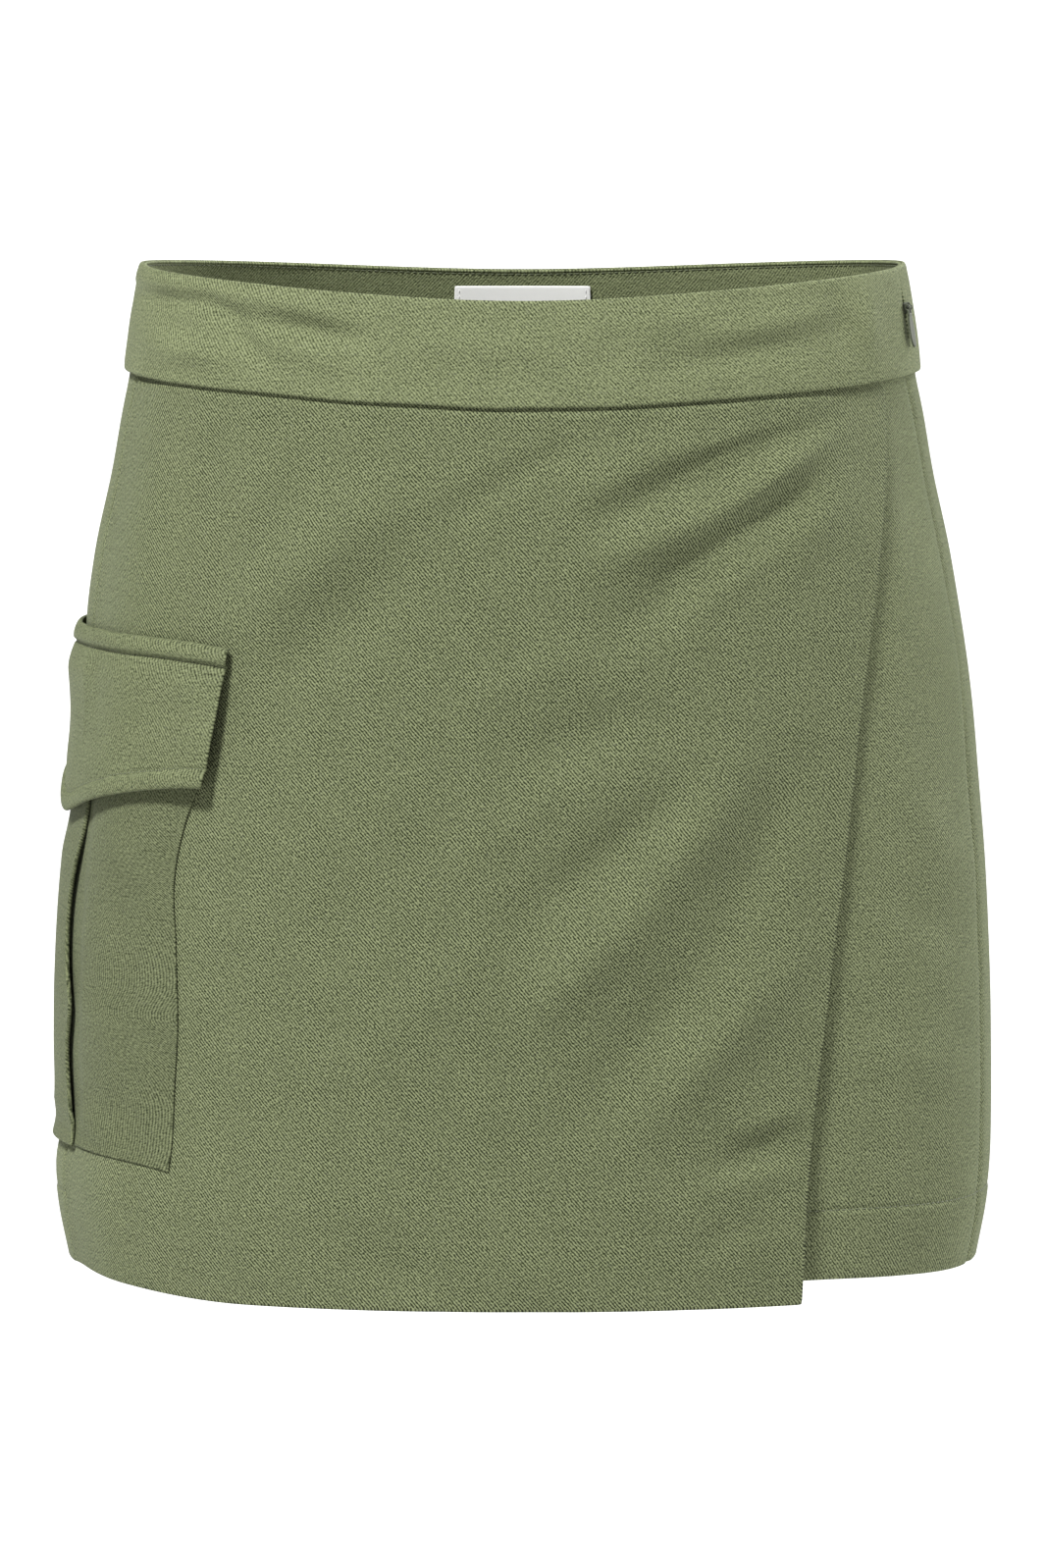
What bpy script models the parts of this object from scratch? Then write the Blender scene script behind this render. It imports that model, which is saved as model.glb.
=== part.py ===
"""A cargo skort: shorts with a wrap panel across the front, a side zip and one cargo pocket.

The cloth keeps the hollow form it has when worn. The frame has +Z up, the front of the garment
towards -Y and the wearer's left towards +X. The origin is the middle of the waist opening, level
with the top edge at the sides. Every panel is a grid of points on one body surface, moved out by
its place in the stack of cloth, and takes its wall from Solidify.

A place on the body surface is given by three things:
  turn  the compass turn about Z, in radians: 0 at the front, a quarter turn at the wearer's left
  down  the drop below the origin
  lift  how far the point stands out from the surface
"""

import math
from collections import namedtuple

import bmesh
import bpy
import numpy as np
from mathutils import Matrix, Vector

MM = 0.001

# Body surface: a level super-ellipse at each drop, with its own half width on each side and its
# own half depth in front and behind. The left column is -X, the side that carries the pocket.
Ring = namedtuple("Ring", "down left right front back")
RINGS = (
    Ring(0.000, 0.1462, 0.1462, 0.0980, 0.0980),
    Ring(0.021, 0.1500, 0.1500, 0.1010, 0.1010),
    Ring(0.044, 0.1529, 0.1529, 0.1040, 0.1050),
    Ring(0.060, 0.1562, 0.1562, 0.1062, 0.1080),
    Ring(0.082, 0.1600, 0.1600, 0.1087, 0.1120),
    Ring(0.113, 0.1667, 0.1667, 0.1125, 0.1180),
    Ring(0.144, 0.1702, 0.1720, 0.1155, 0.1225),
    Ring(0.175, 0.1686, 0.1758, 0.1180, 0.1260),
    Ring(0.205, 0.1723, 0.1785, 0.1200, 0.1285),
    Ring(0.251, 0.1775, 0.1821, 0.1220, 0.1282),
    Ring(0.300, 0.1790, 0.1835, 0.1230, 0.1262),
    Ring(0.332, 0.1794, 0.1836, 0.1232, 0.1244),
    Ring(0.350, 0.1828, 0.1832, 0.1232, 0.1232),
    Ring(0.366, 0.1818, 0.1818, 0.1230, 0.1220),
    Ring(0.388, 0.1777, 0.1777, 0.1226, 0.1202),
    Ring(0.412, 0.1730, 0.1730, 0.1220, 0.1190),
)
SQUARENESS = 2.25  # the super-ellipse's power: 2 would be a plain ellipse

# Cloth
CLOTH = 1.2 * MM
HEM_CLOTH = 2.4 * MM
SEAM = 0.3 * MM  # gap that stands for a seam, and between layers that touch
SIDE_EASE = 0.3 * MM  # each leg panel stops this far from the side seam, for its thick hem
HEM_DEPTH = 29 * MM

# Lines across the body
SIDE_SEAM = math.radians(78.4)
BAND_TOP_DIP_FRONT = 10.5 * MM
BAND_TOP_DIP_BACK = 7.3 * MM
BAND_HEIGHT = 42.6 * MM
BAND_LOW_DIP_FRONT = 9.5 * MM
BAND_LOW_DIP_BACK = 6.5 * MM
LEG_HEM = 388 * MM
LEG_HEM_RISE = 3.8 * MM  # how much higher the legs end in front than at the side
WRAP_HEM = 392.5 * MM
WRAP_HEM_RISE = 5.5 * MM  # how much higher the wrap ends at its side seam

# Waistband, counted outwards from the body surface
BAND_OUT = 2.2 * MM
FACING_OUT = BAND_OUT - CLOTH - SEAM
BAND_WALL = CLOTH

# Crotch: the front and back seams leave the body surface and meet between the legs
CROTCH = 276 * MM
CROTCH_BACK = 12 * MM  # how far behind the middle the inseams lie
FRONT_SEAM_LEAVES = 212 * MM
BACK_SEAM_LEAVES = 205 * MM
LEG_CORNER = 42 * MM  # each leg leaves the body surface this far from the middle
LEG_SPREAD = 0.045  # how fast the legs part below the crotch
VALLEY_DEEP = 52 * MM  # from this depth on, the legs lie against each other
CORNER_PULL = 0.56  # how full the corner is: 0.55 of both its reaches makes a quarter circle
LINE_SAMPLES = 90  # points on each line before it is cut into equal steps

# Wrap panel: the free edge, as seen from the front
EdgePoint = namedtuple("EdgePoint", "down across")
WRAP_EDGE = (
    EdgePoint(0.040, 0.1384),
    EdgePoint(0.069, 0.1389),
    EdgePoint(0.092, 0.1376),
    EdgePoint(0.121, 0.1347),
    EdgePoint(0.157, 0.1300),
    EdgePoint(0.216, 0.1235),
    EdgePoint(0.273, 0.1165),
    EdgePoint(0.348, 0.1086),
    EdgePoint(0.395, 0.1062),
)
WRAP_STANDOFF = 2.8 * MM
WRAP_HEM_STANDOFF = 1.0 * MM  # more at the hem, whose wall is thicker
UNDER_WRAP_SINK = HEM_CLOTH + 2 * SEAM  # how far in the hidden leg panel starts
WRAP_LANDING = 45 * MM  # the wrap rises off its side seam over this much cloth
WRAP_FREE_FROM = 55 * MM  # it hangs clear of the legs from this far below the band
WRAP_FOLDS_FROM = 18 * MM  # and its folds have their full height from here

# Largest folds of the wrap, seen from the front: a soft ridge, or a trough where the height is
# below zero, between two points.
Fold = namedtuple("Fold", "across down across_end down_end width height")
WRAP_FOLDS = (
    Fold(0.064, 0.060, 0.016, 0.087, 0.0080, 1.8 * MM),
    Fold(0.112, 0.057, 0.033, 0.092, 0.0070, -2.4 * MM),
    Fold(0.110, 0.067, 0.078, 0.087, 0.0075, 2.8 * MM),
    Fold(0.078, 0.087, 0.024, 0.111, 0.0080, 2.6 * MM),
    Fold(0.108, 0.080, 0.082, 0.100, 0.0080, -1.8 * MM),
    Fold(0.082, 0.100, 0.034, 0.137, 0.0090, -2.4 * MM),
    Fold(-0.040, 0.074, -0.102, 0.131, 0.0130, 2.6 * MM),
    Fold(-0.044, 0.112, -0.094, 0.158, 0.0140, -1.8 * MM),
    Fold(0.050, 0.166, -0.006, 0.184, 0.0110, -1.8 * MM),
    Fold(0.060, 0.196, 0.000, 0.245, 0.0100, -2.2 * MM),
    Fold(0.078, 0.190, 0.050, 0.234, 0.0110, 2.8 * MM),
    Fold(0.050, 0.234, 0.004, 0.281, 0.0110, 2.8 * MM),
    Fold(0.100, 0.190, 0.078, 0.247, 0.0120, -2.4 * MM),
    Fold(0.078, 0.247, 0.022, 0.318, 0.0120, -2.4 * MM),
    Fold(0.100, 0.260, 0.048, 0.322, 0.0100, 2.2 * MM),
    Fold(0.104, 0.328, 0.074, 0.338, 0.0085, -2.0 * MM),
    Fold(-0.066, 0.368, -0.032, 0.386, 0.0120, -1.6 * MM),
)

# Cargo pocket: a patch over the wearer's right side seam, with a box pleat
POCKET_CENTRE = -9 * MM  # behind the side seam
POCKET_TOP = 160 * MM
POCKET_BOTTOM = 340 * MM
POCKET_CORNER_DROP = 3.4 * MM
POCKET_HALF = 80.5 * MM
POCKET_FLARE = 6 * MM  # how much further the edges reach at the top
POCKET_FLARE_FROM = 228 * MM
POCKET_FLARE_OVER = 32 * MM
POCKET_CLOTH = 1.0 * MM
POCKET_CLEAR = 0.8 * MM  # over the panels, which are flat between their points
POCKET_LEVEL = 250 * MM  # where widths across the pocket and the flap are measured
PLEAT_HALF = 15 * MM
PLEAT_FOLD = 4 * MM  # the inner folds stop this far from the middle
PLEAT_ROUND = 0.6 * MM
FLAP_TOP = 138.8 * MM
FLAP_TOP_DROP = 3.2 * MM  # how much lower the top's ends are
FLAP_SIDE = 196.4 * MM
FLAP_POINT = 16 * MM  # how much lower the flap's middle hangs
FLAP_POINT_HALF = 85 * MM
FLAP_POINT_ROUND = 6 * MM
FLAP_TOP_HALF = 98.5 * MM
FLAP_LOW_HALF = 92.5 * MM
FLAP_RIDGE = 7.1 * MM  # width of the padded roll along the top, and of the one below
FLAP_RIDGE_OUT = 1.1 * MM

# Label inside the back
LABEL_WIDTH = 53.5 * MM
LABEL_HEIGHT = 22 * MM
LABEL_TOP = 14.5 * MM
LABEL_WALL = 1.0 * MM

# Zip at the wearer's left
ZIP_LENGTH = 165 * MM
ZIP_TAPE_WIDTH = 24 * MM
ZIP_TAPE_WALL = 0.8 * MM
ZIP_TAPE_SLOT = 2.8 * MM
ZIP_TAPE_CLEAR = 0.8 * MM  # from the cloth outside it, which is flat between its points
SLIDER_DOWN = 17.5 * MM
SLIDER_HALF_SLOT = 1.25 * MM  # the seam's lips part this far about the slider
SLIDER_SLOT_REACH = 9 * MM
BLADE_WIDTH = 1.2 * MM
BLADE_HEIGHT = 4.4 * MM
SLIDER_PLATE = Vector((1.4, 5.6, 9.0)) * MM
SLIDER_PLATE_EASE = 0.2 * MM  # the tape bends a little across the flat plate
PIN_LIFT = 3.75 * MM
PIN_RADIUS = 0.35 * MM
PIN_CLEARANCE = 0.25 * MM
PULL_RING = 1.2 * MM
PULL_ARM = 0.9 * MM
PULL_LENGTH = 15.5 * MM
PULL_WIDTH = 6.0 * MM
PULL_WALL = 1.0 * MM

# Paint: base colour, roughness, metallic
Finish = namedtuple("Finish", "colour roughness metallic")
TWILL = Finish((0.196, 0.219, 0.118, 1), 0.85, 0.0)
TWILL_INSIDE = Finish((0.170, 0.190, 0.105, 1), 0.88, 0.0)
WHITE_SATIN = Finish((0.72, 0.72, 0.70, 1), 0.55, 0.0)
ZIP_RIBBON = Finish((0.105, 0.120, 0.070, 1), 0.80, 0.0)
GREEN_METAL = Finish((0.090, 0.105, 0.060, 1), 0.42, 0.4)
DARK_METAL = Finish((0.045, 0.048, 0.036, 1), 0.40, 0.7)


# ---------------------------------------------------------------- body surface


def smooth(at, stops, values):
    """A curve through the values: cubic pieces whose slopes come from their neighbours."""
    at = np.clip(at, stops[0], stops[-1])
    slopes = np.gradient(values, stops)
    piece = np.clip(np.searchsorted(stops, at, side="right") - 1, 0, len(stops) - 2)
    step = (stops[1:] - stops[:-1])[piece]
    t = (at - stops[piece]) / step
    return (
        (1 + 2 * t) * (1 - t) ** 2 * values[piece]
        + t * (1 - t) ** 2 * step * slopes[piece]
        + t**2 * (3 - 2 * t) * values[piece + 1]
        + t**2 * (t - 1) * step * slopes[piece + 1]
    )


def ease(t):
    """0 to 1 with level ends."""
    t = np.clip(t, 0, 1)
    return t * t * (3 - 2 * t)


def ring_sizes(down):
    """Half widths at -X and +X and half depths in front and behind, at a drop."""
    rows = np.array(RINGS)
    return [smooth(down, rows[:, 0], rows[:, column]) for column in (1, 2, 3, 4)]


def body_point(turn, down, lift=0.0):
    """The point where a level ray at this turn meets the body, moved out along its normal."""
    turn, down, lift = np.broadcast_arrays(turn, down, lift)
    left, right, front, back = ring_sizes(down)
    ray_x = np.sin(turn)
    ray_y = -np.cos(turn)
    half_width = np.where(ray_x < 0, left, right)
    half_depth = np.where(ray_y < 0, front, back)
    reach = (
        np.abs(ray_x / half_width) ** SQUARENESS + np.abs(ray_y / half_depth) ** SQUARENESS
    ) ** (-1 / SQUARENESS)
    x = reach * ray_x
    y = reach * ray_y
    normal_x = np.sign(x) * np.abs(x) ** (SQUARENESS - 1) / half_width**SQUARENESS
    normal_y = np.sign(y) * np.abs(y) ** (SQUARENESS - 1) / half_depth**SQUARENESS
    length = np.hypot(normal_x, normal_y)
    return np.stack([x + lift * normal_x / length, y + lift * normal_y / length, -down], axis=-1)


def turn_at(across, down):
    """The turn of the point of the front that lies this far across."""
    left, right, front, _ = ring_sizes(down)
    half_width = np.where(across < 0, left, right)
    depth = front * (1 - np.abs(across / half_width) ** SQUARENESS) ** (1 / SQUARENESS)
    return np.arctan2(across, depth)


def turn_along(distance, start, down):
    """The turn reached by going this far round the ring at one drop. Back is positive at -X."""
    turns = start + np.linspace(-math.pi, math.pi, 1441)
    points = body_point(turns, down)
    steps = np.hypot(*np.diff(points[:, :2], axis=0).T)
    travelled = np.concatenate([[0], np.cumsum(steps)])
    travelled -= travelled[len(turns) // 2]
    return np.interp(distance, travelled, turns)


def dip(turn, front, back):
    """How far a line that is level at the sides hangs in front and behind."""
    facing = np.cos(turn)
    return np.where(facing > 0, front, back) * np.abs(facing) ** 1.5


def band_top(turn):
    return dip(turn, BAND_TOP_DIP_FRONT, BAND_TOP_DIP_BACK)


def band_low(turn):
    return BAND_HEIGHT + dip(turn, BAND_LOW_DIP_FRONT, BAND_LOW_DIP_BACK)


# ---------------------------------------------------------------- meshes


def finish_material(name, finish):
    material = bpy.data.materials.new(name)
    material.use_nodes = True
    shader = material.node_tree.nodes["Principled BSDF"]
    shader.inputs["Base Color"].default_value = finish.colour
    shader.inputs["Roughness"].default_value = finish.roughness
    shader.inputs["Metallic"].default_value = finish.metallic
    return material


def add_object(name, mesh, finish, collection):
    thing = bpy.data.objects.new(name, mesh)
    collection.objects.link(thing)
    mesh.materials.append(finish_material(name, finish))
    return thing


def grid_mesh(name, points):
    """A sheet of quads through a grid of points, rows downwards and columns towards +turn."""
    rows, columns = points.shape[:2]
    index = np.arange(rows * columns).reshape(rows, columns)
    faces = np.stack([index[:-1, :-1], index[1:, :-1], index[1:, 1:], index[:-1, 1:]], axis=-1)
    mesh = bpy.data.meshes.new(name)
    mesh.from_pydata(points.reshape(-1, 3).tolist(), [], faces.reshape(-1, 4).tolist())
    mesh.shade_smooth()
    return mesh


def panel(name, points, finish, collection, wall=CLOTH, thick=None, thick_wall=HEM_CLOTH):
    """A cloth panel: the grid is its outer face, and the wall lies inside it.

    thick marks the points whose wall is thick_wall, such as those of a turned-up hem.
    """
    sheet = add_object(name, grid_mesh(name, points), finish, collection)
    solidify = sheet.modifiers.new("cloth", "SOLIDIFY")
    solidify.offset = -1
    solidify.thickness = wall
    if thick is not None:
        group = sheet.vertex_groups.new(name="turned_up")
        group.add(np.flatnonzero(thick).tolist(), 1.0, "REPLACE")
        solidify.vertex_group = group.name
        solidify.thickness = thick_wall
        solidify.thickness_vertex_group = wall / thick_wall
    return sheet


# ---------------------------------------------------------------- waistband and label


def slot_half(down):
    """Half the width of the side opening: a closed seam whose lips part about the slider."""
    near = 1 - ease(np.abs(down - SLIDER_DOWN) / SLIDER_SLOT_REACH)
    return SEAM / 2 + (SLIDER_HALF_SLOT - SEAM / 2) * near


def band_grid(out, columns, rows, shrink=0.0):
    """A ring of cloth from the zip, round the front and the back, to the zip again."""
    across = np.linspace(0, 1, columns)
    centre = SIDE_SEAM - math.pi + (across - 0.5) * 2 * math.pi
    part = np.asarray(rows)[:, None]
    top = band_top(centre) + shrink
    low = band_low(centre) - SEAM / 2 - shrink
    down = top + part * (low - top)
    half_slot = slot_half(down) / ring_sizes(down)[1]
    turn = SIDE_SEAM - math.pi + (across - 0.5) * 2 * (math.pi - half_slot)
    return body_point(turn, down, out)


def waistband(collection):
    rows = (0, 0.22, 0.42, 0.62, 1)
    outer = band_grid(BAND_OUT, 73, rows)
    panel("waistband", outer, TWILL, collection, BAND_WALL)
    inner = band_grid(FACING_OUT, 73, rows, 0.4 * MM)
    panel("waistband_facing", inner, TWILL_INSIDE, collection, BAND_WALL)


def label(collection):
    """A woven label lying on the facing at the centre back."""
    out = FACING_OUT - BAND_WALL - SEAM
    radius = ring_sizes(LABEL_TOP)[3]
    half_turn = LABEL_WIDTH / 2 / radius
    turn = math.pi + np.linspace(-half_turn, half_turn, 9)
    down = LABEL_TOP + np.linspace(0, LABEL_HEIGHT, 4)[:, None]
    panel("label", body_point(turn, down, out), WHITE_SATIN, collection, LABEL_WALL)


# ---------------------------------------------------------------- legs


def crotch_seam(down, leaves, surface_y, inseam_y):
    """Where the seam between the legs lies at a drop: a quarter ellipse from the surface."""
    fall = np.clip((down - leaves) / (CROTCH - leaves), 0, 1)
    return surface_y + (inseam_y - surface_y) * (1 - math.sqrt(1 - fall * fall))


def leg_section(down, side, facing, body_columns, corner_columns):
    """One level of a leg panel from the side seam to the crotch seam or the inseam.

    side is +1 or -1 for the leg, and facing +1 for the front panel or -1 for the back one. The
    line follows the body, turns a rounded corner and runs back along the other leg.
    """
    left, right, front, back = ring_sizes(down)
    half_width = right if side > 0 else left
    surface_y = -front if facing > 0 else back
    end_y = crotch_seam(down, seam_leaves(facing), surface_y, CROTCH_BACK - facing * SEAM / 2)
    end_x = SEAM / 2 + LEG_SPREAD * max(down - CROTCH, 0)
    corner_depth = abs(surface_y) * (1 - (LEG_CORNER / half_width) ** SQUARENESS) ** (1 / SQUARENESS)
    corner_turn = math.atan2(LEG_CORNER, corner_depth)
    if facing < 0:
        corner_turn = math.pi - corner_turn
    seam_turn = SIDE_SEAM - facing * SIDE_EASE / half_width
    turns = np.linspace(seam_turn, corner_turn, LINE_SAMPLES)
    line = body_point(side * turns, down)[:, :2]
    line[:, 0] *= side
    # The corner is a Bezier curve: it leaves along the body and comes in across the seam while
    # the valley is shallow, or along the other leg where it is deep. A straight run follows.
    valley = abs(end_y - surface_y)
    depth = min(valley, VALLEY_DEEP)
    swing = math.pi / 2 * ease(depth / VALLEY_DEEP)
    arriving = np.array([-math.cos(swing), math.sin(swing) * facing])
    leaving = line[-1] - line[-2]
    leaving /= np.hypot(*leaving)
    start = line[-1]
    turned = np.array([end_x, surface_y + facing * depth])
    first = start + leaving * CORNER_PULL * (start[0] - end_x)
    second = turned - arriving * CORNER_PULL * (start[0] * math.cos(swing) + depth * math.sin(swing))
    t = np.linspace(0, 1, LINE_SAMPLES)[:, None]
    corner = (1 - t) ** 3 * start + 3 * (1 - t) ** 2 * t * first
    corner += 3 * (1 - t) * t**2 * second + t**3 * turned
    if valley > depth:
        corner = np.vstack([corner, [[end_x, end_y]]])
    section = np.vstack([evenly(line, body_columns + 1)[:-1], evenly(corner, corner_columns)])
    section[:, 0] *= side
    return section


def evenly(line, columns):
    """The line cut into equal steps."""
    travelled = np.concatenate([[0], np.cumsum(np.hypot(*np.diff(line, axis=0).T))])
    at = np.linspace(0, travelled[-1], columns)
    return np.stack([np.interp(at, travelled, line[:, axis]) for axis in (0, 1)], axis=1)


def seam_leaves(facing):
    return FRONT_SEAM_LEAVES if facing > 0 else BACK_SEAM_LEAVES


def leg_drops(leaves, rows_above, rows_around, hem_rows):
    """Levels of a leg panel: close together where the seams run in under the body."""
    above = np.linspace(BAND_HEIGHT, leaves, rows_above)
    arc = np.sin(np.linspace(0, math.pi / 2, rows_around + 1))[1:]
    around = leaves + (CROTCH - leaves) * arc
    hem_top = LEG_HEM - HEM_DEPTH
    below = [CROTCH + (hem_top - CROTCH) * 0.67, hem_top - 1 * MM, hem_top]
    hem = np.linspace(hem_top, LEG_HEM, hem_rows + 1)[1:]
    return np.concatenate([above, around, below, hem])


def under_wrap(turn):
    """0 at the wrap's side seam, rising to 1 where the wrap has lifted off it."""
    travelled = (turn + SIDE_SEAM) * ring_sizes(POCKET_LEVEL)[0]
    return ease(travelled / WRAP_LANDING)


def leg_panel(name, side, facing, columns, rows, collection):
    drops = leg_drops(seam_leaves(facing), *rows)
    flat = np.array([leg_section(down, side, facing, *columns) for down in drops])
    turn = np.arctan2(flat[..., 0], -flat[..., 1])
    level = drops[:, None]
    part = (level - BAND_HEIGHT) / (LEG_HEM - BAND_HEIGHT)
    from_top = np.clip(1 - part * 2, 0, 1) ** 2
    waist_dip = dip(turn, BAND_LOW_DIP_FRONT, BAND_LOW_DIP_BACK) + SEAM / 2
    hem_rise = LEG_HEM_RISE * ease((SIDE_SEAM - np.abs(turn)) / math.radians(35))
    down = level + waist_dip * from_top - hem_rise * np.clip(part * 2 - 1, 0, 1) ** 2
    points = np.concatenate([flat, -down[..., None]], axis=-1)
    if side < 0 and facing > 0:
        # This panel lies under the wrap, whose seam is flush with the back.
        sink = -UNDER_WRAP_SINK * (1 - under_wrap(turn))
        outward = body_point(turn, down, 1.0) - body_point(turn, down, 0.0)
        points += outward * sink[..., None]
    if side * facing > 0:
        points = points[:, ::-1]
    turned_up = np.repeat(level >= LEG_HEM - HEM_DEPTH - 1e-6, sum(columns), axis=1)
    panel(name, points, TWILL, collection, thick=turned_up.reshape(-1))


# ---------------------------------------------------------------- wrap


def fold_lift(across, down):
    """The folds' height at a place seen from the front: a bell across each, fading to its ends."""
    height = np.zeros(np.broadcast(across, down).shape)
    for fold in WRAP_FOLDS:
        run_x = fold.across_end - fold.across
        run_z = fold.down_end - fold.down
        length = math.hypot(run_x, run_z)
        along = ((across - fold.across) * run_x + (down - fold.down) * run_z) / length**2
        beside = ((across - fold.across) * run_z - (down - fold.down) * run_x) / length
        middle = np.clip(along, 0, 1)
        past = (along - middle) * length
        height += (
            fold.height
            * np.exp(-(beside**2 + past**2) / fold.width**2)
            * (0.35 + 0.65 * np.sin(math.pi * middle))
        )
    return height


def wrap_lift(turn, down):
    """The wrap's outer face: flush at its side seam, over the legs elsewhere, and folded."""
    landed = under_wrap(turn)
    clear = ease((down - band_low(turn)) / WRAP_FREE_FROM)
    across = body_point(turn, down)[..., 0]
    hem = ease((down - WRAP_HEM + 2 * HEM_DEPTH) / HEM_DEPTH)
    folded = ease((down - band_low(turn)) / WRAP_FOLDS_FROM)
    hang = WRAP_STANDOFF * clear + fold_lift(across, down) * folded + WRAP_HEM_STANDOFF * hem
    return (CLOTH + SEAM + np.maximum(hang, 0)) * landed


def wrap(collection):
    columns = 41
    hem_top = WRAP_HEM - HEM_DEPTH
    inner_rows = np.linspace(BAND_HEIGHT, hem_top - 1 * MM, 28)
    level = np.concatenate([inner_rows, np.linspace(hem_top, WRAP_HEM, 4)])[:, None]
    part = (level - BAND_HEIGHT) / (WRAP_HEM - BAND_HEIGHT)
    edge = np.array(WRAP_EDGE)
    edge_x = smooth(level, edge[:, 0], edge[:, 1])
    last = turn_at(edge_x, level)
    # The edge stands off the body, which carries it out sideways too.
    outward = body_point(last, level, 1.0) - body_point(last, level, 0.0)
    last = turn_at(edge_x - wrap_lift(last, level) * outward[..., 0], level)
    first = -SIDE_SEAM + SEAM / 2 / ring_sizes(level)[0]
    turn = first + np.linspace(0, 1, columns) * (last - first)
    waist_dip = dip(turn, BAND_LOW_DIP_FRONT, BAND_LOW_DIP_BACK) + SEAM / 2
    to_seam = (-turn - math.radians(45)) / (SIDE_SEAM - math.radians(45))
    hem_rise = WRAP_HEM_RISE * ease(to_seam)
    down = level + waist_dip * (1 - part) ** 2 - hem_rise * np.clip(part * 2 - 1, 0, 1) ** 2
    turned_up = np.repeat(level >= hem_top - 1e-6, columns, axis=1)
    points = body_point(turn, down, wrap_lift(turn, down))
    panel("wrap_front", points, TWILL, collection, thick=turned_up.reshape(-1))


# ---------------------------------------------------------------- pocket


def pocket_point(along, down, height):
    """A place on the pocket: along from its middle, positive to the front, over the panels."""
    turn = turn_along(along + POCKET_CENTRE, -SIDE_SEAM, POCKET_LEVEL)
    base = np.where(turn > -SIDE_SEAM, wrap_lift(turn, down), 0.0)
    return body_point(turn, down, base + height)


def pocket_profile():
    """The pocket's cloth cut across: one wall folded under each side of the pleat's strip.

    Three levels of cloth lie over each other at the pleat, a seam gap apart. The outline runs
    over the outer face from back to front and returns along the inner one.
    """
    wall = POCKET_CLOTH
    low = POCKET_CLEAR
    level_1 = low + wall
    low_2 = level_1 + SEAM
    level_2 = low_2 + wall
    low_3 = level_2 + SEAM
    level_3 = low_3 + wall
    edges = np.linspace(POCKET_HALF, PLEAT_HALF, 6)
    edge_in = PLEAT_FOLD + wall
    fold_in = PLEAT_HALF - wall
    front_half = [(POCKET_HALF, low)]
    front_half += [(along, level_1) for along in edges]
    front_half += [
        (edge_in, level_1),
        (edge_in, low_2),
        (PLEAT_HALF, low_2),
        (PLEAT_HALF + PLEAT_ROUND, low_2 + wall * 0.7),
        (PLEAT_HALF + PLEAT_ROUND, level_3 - wall * 0.7),
        (PLEAT_HALF, level_3),
        (PLEAT_HALF / 2, level_3),
    ]
    inner_half = [
        (fold_in, low_3),
        (fold_in, level_2),
        (PLEAT_FOLD, level_2),
        (PLEAT_FOLD, low),
    ]
    inner_half += [(along, low) for along in edges[::-1][:-1]]
    outer = front_half + [(-along, height) for along, height in reversed(front_half)]
    inner = [(-along, height) for along, height in reversed(inner_half)] + inner_half
    return np.array(outer + inner)


def loft(name, rings, finish, collection):
    """A closed solid through rings of points, with flat ends."""
    count, around = rings.shape[:2]
    index = np.arange(count * around).reshape(count, around)
    following = np.roll(index, -1, axis=1)
    sides = np.stack([index[:-1], following[:-1], following[1:], index[1:]], axis=-1)
    mesh = bpy.data.meshes.new(name)
    faces = sides.reshape(-1, 4).tolist() + [index[0][::-1].tolist(), index[-1].tolist()]
    mesh.from_pydata(rings.reshape(-1, 3).tolist(), [], faces)
    return add_object(name, mesh, finish, collection)


def pocket_bag(collection):
    profile = pocket_profile()
    along = profile[:, 0]
    part = np.linspace(0, 1, 12)[:, None]
    bottom = POCKET_BOTTOM + POCKET_CORNER_DROP * (along / POCKET_HALF) ** 4
    down = POCKET_TOP + part * (bottom - POCKET_TOP)
    outer = np.clip((np.abs(along) - PLEAT_HALF) / (POCKET_HALF - PLEAT_HALF), 0, 1)
    flare = POCKET_FLARE * ease((POCKET_FLARE_FROM - down) / POCKET_FLARE_OVER) * outer**2
    rings = pocket_point(along + np.sign(along) * flare, down, profile[:, 1])
    loft("pocket_bag", rings, TWILL, collection)


def flap_height(along, down):
    """The flap's outer face over the panels: a ridge at its seam, then out over the pocket."""
    field_top = POCKET_CLEAR + POCKET_CLOTH
    pleat_top = field_top + 2 * (POCKET_CLOTH + SEAM)
    over_pleat = 1 - ease((np.abs(along) - PLEAT_HALF - 1 * MM) / (16 * MM))
    rested = field_top + (pleat_top - field_top) * over_pleat + 1.0 * MM
    fallen = (down - FLAP_TOP) / (FLAP_SIDE - FLAP_TOP)
    landing = ease((down - FLAP_TOP) / (POCKET_TOP - FLAP_TOP - 2 * MM))
    bowed = np.maximum(rested, pleat_top + 0.9 * MM * ease(fallen))
    inner = rested + (bowed - rested) * ease(fallen)
    return POCKET_CLEAR + (inner - POCKET_CLEAR) * landing + CLOTH


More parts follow.
